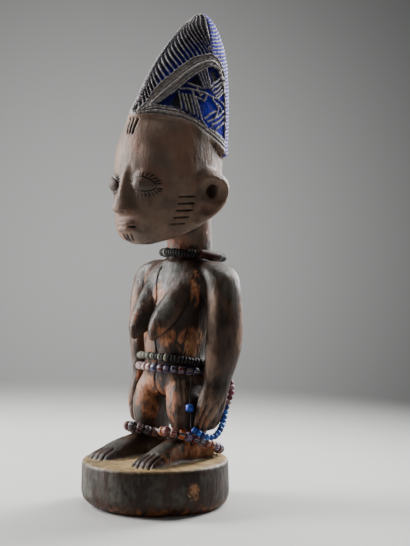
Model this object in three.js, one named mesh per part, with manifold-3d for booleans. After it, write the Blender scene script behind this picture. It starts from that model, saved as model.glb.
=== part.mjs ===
// Ibeji figure: a standing woman and her round base carved from one block of wood, wearing strings of beads.
// Millimetres, +Z up. The origin is the centre of the base's underside, and the figure faces -Y.
import * as THREE from "three";
import { mergeVertices } from "three/addons/utils/BufferGeometryUtils.js";
import Module from "manifold-3d";

const wasm = await Module();
wasm.setup();

// Driving dimensions.
const FIGURE_HEIGHT = 252.8; // from the soles to the tip of the crest
const BASE_RADIUS = 41.6;
const BASE_THICKNESS = 25.9;
const FEET_SUNK = 2.4; // how deep the soles lie below the top of the base
const BASE_FOOT_INSET = 7.6; // how far the worn lower edge draws in, on average
const BASE_WEAR = 0.4; // how much more it is worn at the front right than at the back left
const BASE_FOOT_RISE = 9.5; // how high up that edge the rounding runs
const BASE_TOP_ROUND = 1.2;
const BASE_TAPER = 0.5; // how far the wall draws in towards the top
const BEAD_CLEARANCE = 0.35; // between a string of beads and the wood under it
const NECK_BEAD = { diameter: 5.2, pitch: 4.8, sides: 4 };
const DARK_BEAD = { diameter: 4.2, pitch: 4.8, sides: 4 };
const STRIPED_BEAD = { diameter: 4.4, pitch: 4.4, sides: 4 };
const ANKLE_BEAD = { diameter: 5.2, pitch: 4.7, sides: 4 };
const SEED_BEAD = { diameter: 3.4, pitch: 2.9, sides: 4 };
const BEAD_WAIST = 0.7; // the width between two beads of a string, as a share of a bead
const HIP_BEAD_DIAMETER = 4.4;
const THREAD_DIAMETER = 0.9;
const RIDGE_COUNT = 22; // plaits on each side of the crest
const BAND_WIDTH = 3.2; // borders between the parts of the coiffure
const RIDGE_RELIEF = 1.3;
const BAND_RELIEF = 1.0;
const PANEL_RELIEF = 0.7; // how deep the side panels lie
const HATCH_WIDTH = 1.3;
const HATCH_RELIEF = 0.4;
const FINGER_GROOVE = { width: 1.5, depth: 1.3 };

// The carving is drawn on a figure 252.8 mm high and takes its proportions from the real height.
const DRAWN_HEIGHT = 252.8;
const GROWTH = FIGURE_HEIGHT / DRAWN_HEIGHT;
const LEFT = 1;
const RIGHT = -1;
const LOOP_STEPS = 160;
const DEGREE = Math.PI / 180;
const WEAR_TURN = -133 * DEGREE;

/** A point of the drawn figure, whose heights count from the soles, on the real one. */
function placed(point, side = LEFT) {
  const soles = BASE_THICKNESS - FEET_SUNK;
  return new THREE.Vector3(point.x * side * GROWTH, point.y * GROWTH, point.z * GROWTH + soles);
}

/** A closed geometry as a solid that can be joined and cut. */
function solidOf(geometry) {
  const bare = geometry.clone();
  bare.deleteAttribute("normal");
  bare.deleteAttribute("uv");
  const merged = mergeVertices(bare, 1e-4);
  const kept = [];
  const index = merged.index.array;
  for (let i = 0; i < index.length; i += 3) {
    const [a, b, c] = [index[i], index[i + 1], index[i + 2]];
    if (a !== b && b !== c && c !== a) kept.push(a, b, c);
  }
  merged.setIndex(kept);
  if (volumeOf(merged) < 0) flip(merged);
  const mesh = new wasm.Mesh({
    numProp: 3,
    vertProperties: merged.attributes.position.array,
    triVerts: new Uint32Array(merged.index.array),
  });
  return new wasm.Manifold(mesh);
}

/** The volume inside an indexed geometry, below zero where its faces point inward. */
function volumeOf(geometry) {
  const position = geometry.attributes.position;
  const index = geometry.index.array;
  const [a, b, c] = [new THREE.Vector3(), new THREE.Vector3(), new THREE.Vector3()];
  let sum = 0;
  for (let i = 0; i < index.length; i += 3) {
    a.fromBufferAttribute(position, index[i]);
    b.fromBufferAttribute(position, index[i + 1]);
    c.fromBufferAttribute(position, index[i + 2]);
    sum += a.dot(b.cross(c)) / 6;
  }
  return sum;
}

/** Turns every face of an indexed geometry round. */
function flip(geometry) {
  const index = geometry.index.array;
  for (let i = 0; i < index.length; i += 3) {
    [index[i + 1], index[i + 2]] = [index[i + 2], index[i + 1]];
  }
}

/** A solid as a geometry. */
function geometryOf(solid) {
  const mesh = solid.getMesh();
  const geometry = new THREE.BufferGeometry();
  geometry.setAttribute("position", new THREE.BufferAttribute(new Float32Array(mesh.vertProperties), 3));
  geometry.setIndex(new THREE.BufferAttribute(new Uint32Array(mesh.triVerts), 1));
  const flat = geometry.toNonIndexed();
  flat.computeVertexNormals();
  return flat;
}

/** Points in rows, with every row a closed ring, as a solid: a bar with closed ends, or a hoop. */
function skinned(rings, hoop = false) {
  const around = rings[0].length;
  const points = rings.flat();
  const faces = [];
  for (let r = 0; r < rings.length - (hoop ? 0 : 1); r += 1) {
    for (let k = 0; k < around; k += 1) {
      const [a, b] = [r * around + k, r * around + ((k + 1) % around)];
      const [c, d] = [b, a].map((corner) => (corner + around) % points.length);
      faces.push(a, b, c, a, c, d);
    }
  }
  if (hoop) return solidOf(geometryFrom(points, faces));
  for (const [ring, turned] of [[0, true], [rings.length - 1, false]]) {
    const middle = rings[ring].reduce((sum, p) => sum.add(p), new THREE.Vector3()).divideScalar(around);
    points.push(middle);
    for (let k = 0; k < around; k += 1) {
      const [a, b] = [ring * around + k, ring * around + ((k + 1) % around)];
      faces.push(...(turned ? [points.length - 1, b, a] : [points.length - 1, a, b]));
    }
  }
  return solidOf(geometryFrom(points, faces));
}

/** A geometry from points and the triples that join them. */
function geometryFrom(points, faces) {
  const geometry = new THREE.BufferGeometry().setFromPoints(points);
  geometry.setIndex(faces);
  return geometry;
}

/** Joins a list of solids into one. */
function joined(solids) {
  return solids.reduce((whole, piece) => whole.add(piece));
}

/** The value of one field of a list of stations at a place between them, on a smooth curve through them. */
function along(stations, field, place) {
  const last = stations.length - 1;
  let i = 0;
  while (i < last - 1 && place > stations[i + 1].at) i += 1;
  const slope = (k) => {
    const a = stations[Math.max(k - 1, 0)];
    const b = stations[Math.min(k + 1, last)];
    return (b[field] - a[field]) / (b.at - a.at);
  };
  const [p, q] = [stations[i], stations[i + 1]];
  const span = q.at - p.at;
  const t = THREE.MathUtils.clamp((place - p.at) / span, 0, 1);
  const [t2, t3] = [t * t, t * t * t];
  return (
    (2 * t3 - 3 * t2 + 1) * p[field] +
    (t3 - 2 * t2 + t) * span * slope(i) +
    (3 * t2 - 2 * t3) * q[field] +
    (t3 - t2) * span * slope(i + 1)
  );
}

/** Stations from rows of [at, across, mid, wide, low, high, keen]. */
function stationsOf(rows) {
  return rows.map(([at, across, mid, wide, low, high, keen = 2]) => {
    return { at, across, mid, wide, low, high, keen };
  });
}

/** Stations of a line on the coiffure from rows of [at, turn, height]. */
function lineOf(rows) {
  return rows.map(([at, turn, height]) => ({ at, turn, height }));
}

/** A share of a half width at an angle, for an outline between an ellipse (2) and a box (high). */
function swell(value, squareness) {
  return Math.sign(value) * Math.abs(value) ** (2 / squareness);
}

/**
 * The outline point of a form at a place along it and an angle round it, lifted off its surface.
 * A form that stands runs along Z and turns from its left (0) through its back (90) to its right (180).
 */
function outline(form, place, angle, lift = 0) {
  const get = (field) => along(form.stations, field, place);
  const front = Math.sin(angle) < 0;
  const squareness = front ? get("keen") : form.backSquareness ?? get("keen");
  const across = get("across") + (get("wide") + lift) * swell(Math.cos(angle), squareness);
  const reach = front ? get("low") : get("high");
  const depth = get("mid") + (reach + lift) * swell(Math.sin(angle), squareness);
  if (form.runs === "y") return new THREE.Vector3(across, place, depth);
  if (form.runs === "x") return new THREE.Vector3(place, across, depth);
  return new THREE.Vector3(across, depth, place);
}

/** The direction straight out of a standing form's surface. */
function outward(form, place, angle) {
  const step = 0.5;
  const up = outline(form, place + step, angle).sub(outline(form, place - step, angle));
  const round = outline(form, place, angle + 0.03).sub(outline(form, place, angle - 0.03));
  return round.cross(up).normalize();
}

/** A form as a solid. */
function carved(form, side = LEFT) {
  const { around, rings, stations } = form;
  const [first, final] = [stations[0].at, stations[stations.length - 1].at];
  const loops = [];
  for (let ring = 0; ring < rings; ring += 1) {
    const place = THREE.MathUtils.lerp(first, final, ring / (rings - 1));
    const loop = [];
    for (let k = 0; k < around; k += 1) {
      loop.push(placed(outline(form, place, (2 * Math.PI * k) / around), side));
    }
    loops.push(loop);
  }
  return skinned(loops);
}

/**
 * A bar with a three-cornered section along points on a surface. Its foot lies at one lift off the surface
 * and its edge at another, so that it stands proud as a ridge or cuts in as a groove.
 */
function bar(path, width, foot, edge, side = LEFT) {
  const loops = path.map(({ point, normal }, i) => {
    const before = path[Math.max(i - 1, 0)].point;
    const after = path[Math.min(i + 1, path.length - 1)].point;
    const run = after.clone().sub(before).normalize();
    const sideways = new THREE.Vector3().crossVectors(run, normal).normalize().multiplyScalar(width / 2);
    const low = point.clone().addScaledVector(normal, foot);
    return [
      placed(low.clone().add(sideways), side),
      placed(point.clone().addScaledVector(normal, edge), side),
      placed(low.clone().sub(sideways), side),
    ];
  });
  return skinned(loops);
}

/** Places on a standing form's surface, with the directions out of it, from rows of [height, turn]. */
function traced(form, rows) {
  return rows.map(([height, turn]) => ({
    point: outline(form, height, turn * DEGREE),
    normal: outward(form, height, turn * DEGREE),
  }));
}

// The body. Heights count from the soles.
const TORSO = {
  around: 16,
  rings: 13,
  stations: stationsOf([
    [35.5, 0, 16, 5, 5, 6, 2.2],
    [38, 0, 16.4, 13, 13, 14, 2.3],
    [42, 0, 16.8, 18.8, 15.8, 19, 2.4],
    [47, 0, 16.6, 20, 16, 19.8, 2.4],
    [52, 0, 15.8, 18.8, 15.2, 17.4, 2.4],
    [59, 0, 15, 17.4, 14.5, 16, 2.4],
    [68, 0, 15, 17.8, 15, 18, 2.4],
    [80, 0, 17, 19, 16, 17.8, 2.4],
    [92, 0, 20, 21.5, 17.5, 16, 2.4],
    [101, 0, 22, 25, 16.5, 15, 2.4],
    [106, 0, 23, 25, 15, 14, 2.4],
    [110.5, 0, 24, 20, 13, 13, 2.3],
    [113, 0, 24.5, 14.5, 12, 12, 2.2],
  ]),
};
const NECK = {
  around: 14,
  rings: 4,
  stations: stationsOf([
    [104, 0, 26, 14, 13.4, 11.6],
    [113, 0, 27.2, 13.2, 13.2, 13],
    [124, 0, 27, 13, 13, 13],
    [140, 0, 23, 15, 15, 15],
  ]),
};
const BREAST = {
  around: 10,
  rings: 7,
  stations: stationsOf([
    [69, 7.4, -9.4, 1.2, 1.2, 1.2],
    [72.5, 7.6, -7, 4.6, 4.4, 4.6],
    [77.5, 8, -3.6, 7.4, 7.4, 8],
    [84.5, 8.7, 1.6, 9, 9, 9],
    [93.5, 10, 8.5, 9, 9, 9],
    [102, 11.5, 14, 7, 7, 7],
  ]),
};
const ARM = {
  around: 10,
  rings: 11,
  stations: stationsOf([
    [18.8, 25, 14, 2.6, 6.4, 6.8, 2.4],
    [21, 25.6, 14.4, 3.6, 8.6, 8.6, 2.4],
    [26, 26.8, 15, 4.2, 9.6, 10.2, 2.4],
    [33, 28.2, 16, 4.8, 9.8, 10.4, 2.4],
    [40, 28.6, 18, 5.2, 9.8, 9.6, 2.4],
    [47, 29, 20.4, 5.4, 9.4, 9.2, 2.3],
    [54, 29.8, 22.4, 6.5, 11, 9.8, 2.3],
    [63, 30.8, 23.8, 7.3, 12.6, 10.6, 2.3],
    [75, 31.7, 24.2, 7.9, 12.4, 10.5, 2.3],
    [90, 31.4, 24, 8.4, 11.2, 9.8, 2.3],
    [99, 29.6, 24, 9, 9.8, 9.8, 2.3],
    [105.5, 27, 24.2, 9.4, 9.6, 9.6, 2.3],
    [110, 23, 24.4, 7.6, 8.2, 8.2, 2.3],
    [112.6, 19.4, 24.5, 3.4, 4.2, 4.2, 2.3],
  ]),
};
const LEG = {
  around: 10,
  rings: 8,
  stations: stationsOf([
    [3, 16, 14, 7, 12, 12, 2.6],
    [9, 15.6, 14, 6.6, 11.6, 10, 2.6],
    [15.5, 15.2, 13.5, 6.4, 11.4, 9, 2.6],
    [22, 14.8, 13.5, 7.2, 13.2, 12, 2.8],
    [29, 14, 14, 8.2, 15, 15.5, 3],
    [37, 13, 14.5, 8.4, 14.8, 18.6, 2.8],
    [44, 11.8, 15, 7.6, 13.6, 18, 2.6],
    [50, 10.6, 15, 5.4, 10, 13, 2.4],
  ]),
};
const FOOT = {
  runs: "y",
  around: 10,
  rings: 9,
  stations: stationsOf([
    [-28.2, 18, 1.6, 7.6, 2.6, 2, 2.4],
    [-25.5, 18.2, 2.4, 8.8, 3.4, 3.8, 2.4],
    [-19, 17.8, 3.4, 8.9, 4.4, 5.8, 2.4],
    [-12, 16.8, 4.4, 8.4, 5.4, 7.6, 2.4],
    [-4, 15.5, 5, 7.2, 6, 9.2, 2.4],
    [4, 15, 5.6, 6.4, 6.6, 10.2, 2.4],
    [12, 15.6, 5.6, 6.4, 6.6, 10.2, 2.4],
    [19, 16.6, 5, 6.6, 6, 7.2, 2.4],
    [24, 17, 4.2, 5.8, 5.2, 3.8, 2.4],
    [26.6, 17.2, 3.2, 3.4, 4.2, 2.2, 2.4],
  ]),
};
const TOES = { cuts: 4, first: 12.7, spread: 3.7, root: -13.5, tip: -30, fan: 0.14, width: 1.7, depth: 1.6 };

// The head and the hair. Both keep one smooth slope from the forehead to the crest.
const HEAD = {
  around: 18,
  rings: 11,
  backSquareness: 2.1,
  stations: stationsOf([
    [122.4, 0, -9.6, 4.4, 4.4, 5, 2.2],
    [126, 0, -4, 15.5, 15.5, 12, 2.2],
    [132, 0, 3, 21, 24.5, 22, 2.2],
    [140, 0, 8, 24, 30, 29, 2.2],
    [150, 0, 10, 25.6, 32, 32.5, 2.2],
    [162, 0, 10.5, 26.2, 32, 33, 2.2],
    [175, 0, 11.5, 26, 31.8, 32, 2.1],
    [186, 0, 14, 25, 32, 29.5, 1.8],
    [195, 0, 18, 23.2, 31.8, 24.5, 1.62],
  ]),
};
const HAIR = {
  backSquareness: 3.2,
  stations: stationsOf([
    [170, 0, 12.5, 26, 33.4, 30, 1.6],
    [182, 0, 15.5, 25.4, 33.8, 27.4, 1.6],
    [194.5, 0, 20, 24.2, 35.9, 23.6, 1.6],
    [202.5, 0, 23.5, 22.4, 34, 21.2, 1.6],
    [212, 0, 26.5, 20.2, 31.7, 19.2, 1.6],
    [221, 0, 29, 18, 28.3, 17.6, 1.6],
    [229, 0, 31, 15.4, 23.9, 15.8, 1.6],
    [235, 0, 32.5, 13, 20, 14, 1.6],
    [244.8, 0, 34.5, 8.2, 12.3, 10, 1.6],
    [250, 0, 35.8, 5.2, 6.1, 6, 1.6],
    [252.8, 0, 36, 2.6, 2.7, 3.2, 1.6],
  ]),
};
const SIDE_SLICES = 8;
const REAR_BAND_SHARE = 0.95; // where the rear border begins
const BACK = { ribs: 12, lowest: 172.4, highest: 251, lowTurn: 27, highTurn: 8, columns: 4, thickness: 8 };
const SHRINK = new THREE.Vector3(0.8, 1, 1);
const CREST_LINE = lineOf([
  [0, -90, 196],
  [0.12, -90, 205],
  [0.32, -90, 216],
  [0.52, -90, 225.5],
  [0.7, -90, 235],
  [0.83, -90, 243],
  [0.93, -90, 249],
  [1, -90, 252.6],
]);
const FRONT_BAND = lineOf([
  [0, -89, 195.2],
  [0.12, -69, 201],
  [0.32, -60, 208.3],
  [0.52, -50.5, 215],
  [0.7, -40, 220.8],
  [0.83, -28, 224.7],
  [0.93, -13.5, 227.3],
  [1, 2, 228.8],
]);
const HAIRLINE = lineOf([
  [0, -88, 194.2],
  [0.1, -63, 194.8],
  [0.25, -49.2, 193.8],
  [0.41, -35, 191.8],
  [0.56, -22, 189.2],
  [0.72, -5.5, 184.6],
  [0.86, 8, 179.6],
  [1, 27, 173.5],
]);

// Lines of the side panels, each from one [height, turn] to another.
const HATCHES = [
  [[215, -45], [196.5, -31.5]],
  [[218.6, -39], [193.6, -24.5]],
  [[219, -34.5], [191.8, -20]],
  [[223, -21], [215.5, -16]],
  [[214, -8], [221, 4]],
  [[192.5, -15], [203.5, 14]],
  [[185.2, -4], [195, 22]],
];
const FINGERS = [
  [19, -58, 35, -40],
  [18.9, -14, 36, -8],
  [19, 34, 35, 26],
];

// Strings of beads round the waist, by their heights at the front and the back.
const DARK_STRING = { front: 60.2, back: 52 };
const STRIPED_STRING = { front: 53.6, back: 48.2 };

// Loops of beads round a limb, by the height at which they rest and the slack on each side of the limb there.
const NECK_LOOP = { limb: NECK, rest: 113.1, slack: { out: 0.8, in: 0.8, front: 0.4, back: 5 }, fall: 0.12 };
const LEFT_LOOP = { limb: LEG, rest: 10.1, slack: { out: 1.5, in: 0.6, front: 6.7, back: 6.5 }, fall: 0.37 };
const RIGHT_LOOP = { limb: LEG, rest: 9.7, slack: { out: 1.1, in: 0.3, front: 4, back: 4.5 }, fall: 0.39 };

// The face: calm and full, with heavy-lidded eyes, a broad nose and closed lips.
const EYELID = {
  runs: "x",
  around: 8,
  rings: 6,
  stations: stationsOf([
    [3.4, -20.8, 155.6, 0.6, 0.6, 0.6],
    [7, -19.6, 156, 3, 4.8, 5.2],
    [11.5, -18.2, 156.3, 3.8, 6.6, 7],
    [16, -15.4, 155.8, 3.4, 4.8, 5],
    [20.6, -11, 154.4, 0.8, 0.6, 0.6],
  ]),
};
const EYE = {
  runs: "x",
  around: 8,
  rings: 6,
  stations: stationsOf([
    [4.8, -21, 155.4, 0.6, 0.4, 0.4],
    [7.8, -20.2, 155.5, 3.4, 3, 3.2],
    [11.5, -18.9, 155.6, 4.6, 4.3, 4.6],
    [15.4, -16.3, 155.2, 4, 3, 3.2],
    [19, -12.9, 154.4, 0.8, 0.4, 0.4],
  ]),
};
const NOSE = {
  around: 10,
  rings: 7,
  stations: stationsOf([
    [139.6, 0, -22, 5.4, 5.4, 3],
    [141.6, 0, -22, 7, 7.4, 3],
    [145.5, 0, -21.6, 5.8, 7.2, 3],
    [151, 0, -21.2, 3.8, 5.4, 3],
    [158, 0, -20.8, 2.8, 3.8, 3],
    [166, 0, -20.4, 3.4, 1.4, 3],
  ]),
};
const LIP = {
  runs: "x",
  around: 6,
  rings: 7,
  stations: stationsOf([
    [-8.6, -19.4, 133.2, 0.6, 0.4, 0.4],
    [-4.6, -21.2, 134.2, 2.6, 1.4, 1.5],
    [0, -21.9, 134, 3.2, 1.4, 1.7],
    [4.6, -21.2, 134.2, 2.6, 1.4, 1.5],
    [8.6, -19.4, 133.2, 0.6, 0.4, 0.4],
  ]),
};
const LOWER_LIP_DROP = 3.2;
const EAR = {
  around: 10,
  rings: 7,
  stations: stationsOf([
    [133.5, 23.4, 9.6, 1.6, 1.6, 2],
    [138, 25.6, 14, 3.4, 4.6, 6],
    [144, 27.6, 17, 5, 7, 9],
    [151, 28.8, 18.2, 5.8, 8, 10],
    [157, 28.6, 18.2, 5.4, 8, 9.6],
    [161.5, 27.2, 17.4, 3.8, 6, 7],
    [164, 26, 16.6, 1.6, 3, 3],
  ]),
};
const EAR_CUP = { across: 33, depth: 17.4, height: 150, radii: [5.4, 5.4, 9.2] };
const EAR_HOLE = { across: 27.6, depth: 15.4, height: 148.4, radii: [3.4, 3, 3.2] };

/** The round base, turned from its outline: a worn lower edge and a soft upper one. */
function base() {
  const profile = [new THREE.Vector2(0, 0)];
  const steps = 4;
  for (let i = 0; i <= steps; i += 1) {
    const a = (Math.PI / 2) * (i / steps);
    const radius = BASE_RADIUS - BASE_FOOT_INSET * (1 - Math.sin(a));
    profile.push(new THREE.Vector2(radius, BASE_FOOT_RISE * (1 - Math.cos(a))));
  }
  profile.push(new THREE.Vector2(BASE_RADIUS - BASE_TAPER, BASE_THICKNESS - BASE_TOP_ROUND));
  profile.push(new THREE.Vector2(BASE_RADIUS - BASE_TAPER - BASE_TOP_ROUND, BASE_THICKNESS));
  profile.push(new THREE.Vector2(0, BASE_THICKNESS));
  const geometry = new THREE.LatheGeometry(profile, 28);
  geometry.rotateX(Math.PI / 2);
  const position = geometry.attributes.position;
  for (let i = 0; i < position.count; i += 1) {
    const [x, y] = [position.getX(i), position.getY(i)];
    const radius = Math.hypot(x, y);
    const inset = position.getZ(i) < BASE_FOOT_RISE && radius > 1 ? BASE_RADIUS - radius : 0;
    const worn = radius > 1 ? 1 - (inset * BASE_WEAR * Math.cos(Math.atan2(y, x) - WEAR_TURN)) / radius : 1;
    position.setXY(i, x * worn, y * worn);
  }
  return solidOf(geometry);
}

/** An oval lump, for hollows. */
function oval({ across, depth, height, radii }, side) {
  const geometry = new THREE.SphereGeometry(1, 8, 6);
  geometry.rotateX(Math.PI / 2);
  geometry.scale(radii[0] * GROWTH, radii[1] * GROWTH, radii[2] * GROWTH);
  const middle = placed(new THREE.Vector3(across, depth, height), side);
  geometry.translate(middle.x, middle.y, middle.z);
  return solidOf(geometry);
}

/** The distance between two places on the coiffure. */
function apart(a, b) {
  return outline(HAIR, a.height, a.turn * DEGREE).distanceTo(outline(HAIR, b.height, b.turn * DEGREE));
}

/** The height and turn of a line on the coiffure at a share of its length. */
function placeOn(line, share) {
  return { turn: along(line, "turn", share), height: along(line, "height", share) };
}

/** A place between the front band (0) and the crest (1) on one slice of the coiffure. */
function towardsCrest(share, reach) {
  const [band, crest] = [placeOn(FRONT_BAND, share), placeOn(CREST_LINE, share)];
  const bend = 1 + 2.5 * share * share;
  return {
    turn: THREE.MathUtils.lerp(band.turn, crest.turn, reach ** bend),
    height: THREE.MathUtils.lerp(band.height, crest.height, reach),
  };
}

/** A place between the front band (0) and the hairline (1) on one slice of the coiffure. */
function towardsHairline(share, reach) {
  const [band, foot] = [placeOn(FRONT_BAND, share), placeOn(HAIRLINE, share)];
  const bend = 1 + 2 * share * share;
  return {
    turn: THREE.MathUtils.lerp(band.turn, foot.turn, 1 - Math.max(1 - reach, 0) ** bend),
    height: THREE.MathUtils.lerp(band.height, foot.height, reach),
  };
}

/** The shares of a band's half width on a slice: above it, towards the crest, and below it. */
function bandShares(share) {
  const [band, crest, foot] = [FRONT_BAND, CREST_LINE, HAIRLINE].map((line) => placeOn(line, share));
  return {
    above: Math.min(BAND_WIDTH / 2 / apart(band, crest), 0.3),
    below: Math.min(BAND_WIDTH / 2 / apart(band, foot), 0.16),
  };
}

/** The places down one side of the crest: a plait or the groove beside it. */
function crestSlice(share, proud) {
  const { above } = bandShares(share);
  const ridge = proud ? RIDGE_RELIEF / 2 : -RIDGE_RELIEF / 2;
  return [
    { ...towardsCrest(share, 1), lift: ridge },
    { ...towardsCrest(share, 0.5), lift: ridge },
    { ...towardsCrest(share, above * 0.8), lift: ridge },
    { ...towardsHairline(share, 0.1), lift: -3 },
  ];
}

/** The places down one side of the hair below the crest: two borders and the panel between them. */
function sideSlice(share) {
  const { above, below } = bandShares(share);
  const panel = share > REAR_BAND_SHARE ? BAND_RELIEF : -PANEL_RELIEF;
  const up = (reach, lift) => ({ ...towardsCrest(share, reach), lift });
  const down = (reach, lift) => ({ ...towardsHairline(share, reach), lift });
  return [
    up(above * 1.6, -2),
    up(above, BAND_RELIEF),
    down(below, BAND_RELIEF),
    down(below * 1.4, panel),
    down(0.5, panel),
    down(1 - below * 2.4, panel),
    down(1 - below * 2, BAND_RELIEF),
    down(1 + below * 0.4, -1.5),
  ];
}

/** A block of the coiffure: slices over it from side to side, closed at its front and back. */
function sliced(shares, rowsOf) {
  const loops = shares.map((share, i) => {
    const places = rowsOf(share, i % 2 === 1);
    const at = (side) => places.map((p) => placed(outline(HAIR, p.height, p.turn * DEGREE, p.lift), side));
    return [...at(LEFT).reverse(), ...at(RIGHT).slice(rowsOf === crestSlice ? 1 : 0)];
  });
  return skinned(loops);
}

/** The ribbed back of the coiffure, between the rear borders. */
function hairBack() {
  const { ribs, lowest, highest, lowTurn, highTurn, columns, thickness } = BACK;
  const loops = [];
  for (let i = 0; i <= 2 * ribs; i += 1) {
    const share = i / (2 * ribs);
    const height = THREE.MathUtils.lerp(lowest, highest, share);
    const turn = THREE.MathUtils.lerp(lowTurn, highTurn, share ** 2);
    const lift = i % 2 === 1 ? RIDGE_RELIEF / 2 : -RIDGE_RELIEF / 2;
    const loop = [];
    for (let c = 0; c <= columns; c += 1) {
      loop.push(outline(HAIR, height, THREE.MathUtils.lerp(turn, 180 - turn, c / columns) * DEGREE, lift));
    }
    for (const end of [columns, 0]) {
      loop.push(loop[end].clone().setY(loop[end].y - thickness).multiply(SHRINK));
    }
    loops.push(loop.map((p) => placed(p)));
  }
  return skinned(loops);
}

/** The coiffure: the plaited crest, the panelled sides and the ribbed back. */
function coiffure() {
  const crest = [];
  for (let i = 0; i <= 2 * RIDGE_COUNT; i += 1) crest.push(0.02 + (0.98 * i) / (2 * RIDGE_COUNT));
  const sides = [];
  for (let i = 0; i <= SIDE_SLICES; i += 1) sides.push(0.02 + ((REAR_BAND_SHARE - 0.02) * i) / SIDE_SLICES);
  sides.push(REAR_BAND_SHARE + 0.01, 1);
  return sliced(crest, crestSlice).add(sliced(sides, sideSlice)).add(hairBack());
}

/** The cuts between the toes of one foot, fanning out down the front of the instep. */
function toeCuts(side) {
  const solids = [];
  for (let k = 0; k < TOES.cuts; k += 1) {
    const root = TOES.first + TOES.spread * k * 0.86;
    const path = [TOES.root, TOES.tip].map((y) => {
      const across = root + (TOES.root - y) * TOES.fan * (k / 3) + (TOES.root - y) * 0.01;
      const middle = Math.max(y, FOOT.stations[0].at);
      const share = (across - along(FOOT.stations, "across", middle)) / along(FOOT.stations, "wide", middle);
      const angle = Math.acos(THREE.MathUtils.clamp(Math.sign(share) * Math.abs(share) ** 1.2, -1, 1));
      const top = outline(FOOT, middle, angle).z;
      const point = new THREE.Vector3(across, y, y < middle ? FEET_SUNK + TOES.depth : top);
      return { point, normal: new THREE.Vector3(0, -0.3, 0.95) };
    });
    solids.push(bar(path, TOES.width * 2, TOES.depth, -TOES.depth, side));
  }
  return solids;
}

/** Straight cuts on a standing form, from rows of [height, turn, height, turn]. */
function cuts(form, rows, groove, side) {
  return rows.map(([h1, t1, h2, t2]) => {
    const path = traced(form, [[h1, t1], [h2, t2]]);
    return bar(path, groove.width * 2, groove.depth, -groove.depth, side);
  });
}

/** The middle line of a string of beads round a standing form, clear of it and sloping from front to back. */
function ringRound(form, { front, back }, bead) {
  const gap = (bead.diameter / 2 + BEAD_CLEARANCE) / GROWTH;
  const points = [];
  for (let k = 0; k < LOOP_STEPS; k += 1) {
    const angle = (2 * Math.PI * k) / LOOP_STEPS;
    const share = (1 + Math.sin(angle)) / 2;
    const height = THREE.MathUtils.lerp(front, back, share);
    points.push(outline(form, height, angle).addScaledVector(outward(form, height, angle), gap));
  }
  return points;
}

/** The middle line of a string of beads on a tilted oval loop round a limb. */
function loopRound({ limb, rest, slack, fall }, bead) {
  const half = bead.diameter / 2 / GROWTH;
  const [across, mid, wide, low, high] = ["across", "mid", "wide", "low", "high"].map((field) => {
    return along(limb.stations, field, rest);
  });
  const [inner, outer] = [across - wide - slack.in - half, across + wide + slack.out + half];
  const [front, back] = [mid - low - slack.front - half, mid + high + slack.back + half];
  const points = [];
  for (let k = 0; k < LOOP_STEPS; k += 1) {
    const angle = (2 * Math.PI * k) / LOOP_STEPS;
    const depth = ((back - front) / 2) * Math.sin(angle);
    const left = (inner + outer) / 2 + ((outer - inner) / 2) * Math.cos(angle);
    points.push(new THREE.Vector3(left, (front + back) / 2 + depth, rest + half - fall * depth));
  }
  return points;
}

/** A string of beads, as rings of points round a thread: wide at each bead's middle, narrow between beads. */
function strung(line, widths, sides, reference) {
  const closed = line.closed;
  const count = widths.length;
  const rings = widths.map((width, i) => {
    const at = closed ? i / count : i / (count - 1);
    const middle = line.getPointAt(at);
    const run = line.getTangentAt(at);
    const out = new THREE.Vector3().crossVectors(run, reference).normalize();
    const up = new THREE.Vector3().crossVectors(out, run);
    return ringOf(middle, out, up, width / 2, sides);
  });
  return skinned(rings, closed);
}

/** A closed string of equal beads along a ring of places. */
function beadRing(points, bead, side = LEFT) {
  const line = new THREE.CatmullRomCurve3(points.map((p) => placed(p, side)), true);
  line.arcLengthDivisions = 800;
  const beads = Math.round(line.getLength() / bead.pitch);
  const widths = [];
  for (let i = 0; i < beads; i += 1) widths.push(bead.diameter, bead.diameter * BEAD_WAIST);
  return strung(line, widths, bead.sides, new THREE.Vector3(0, 0, 1));
}

// The hanging string: from the left hip down past the thigh, round under the hand and up behind the wrist.
const HANGING_PATH = [
  [22.2, 7, 48.4],
  [21.8, 6.6, 44],
  [22.2, 5.8, 38],
  [24.2, 3.4, 32.4],
  [24.9, 3.6, 28.6],
  [25.2, 3.4, 24.6],
  [26.6, 3, 21.6],
  [29.4, 5.8, 18.8],
  [31, 10.6, 16.4],
  [31.4, 15.6, 16.2],
  [30.6, 20.8, 19.2],
  [28.8, 25.4, 24],
  [27.6, 28.4, 29.6],
  [28, 31, 35.2],
  [27.6, 33.2, 40.2],
  [26, 34, 44],
  [24.2, 34, 47],
];
const HANGING_ORDER = [
  { kind: "thread", length: 14.6 },
  { kind: "bead", diameter: HIP_BEAD_DIAMETER, pitch: HIP_BEAD_DIAMETER, count: 1 },
  { kind: "thread", length: 9.5 },
  { kind: "bead", diameter: SEED_BEAD.diameter, pitch: SEED_BEAD.pitch, count: 22 },
  { kind: "thread", length: 7 },
];

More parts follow.
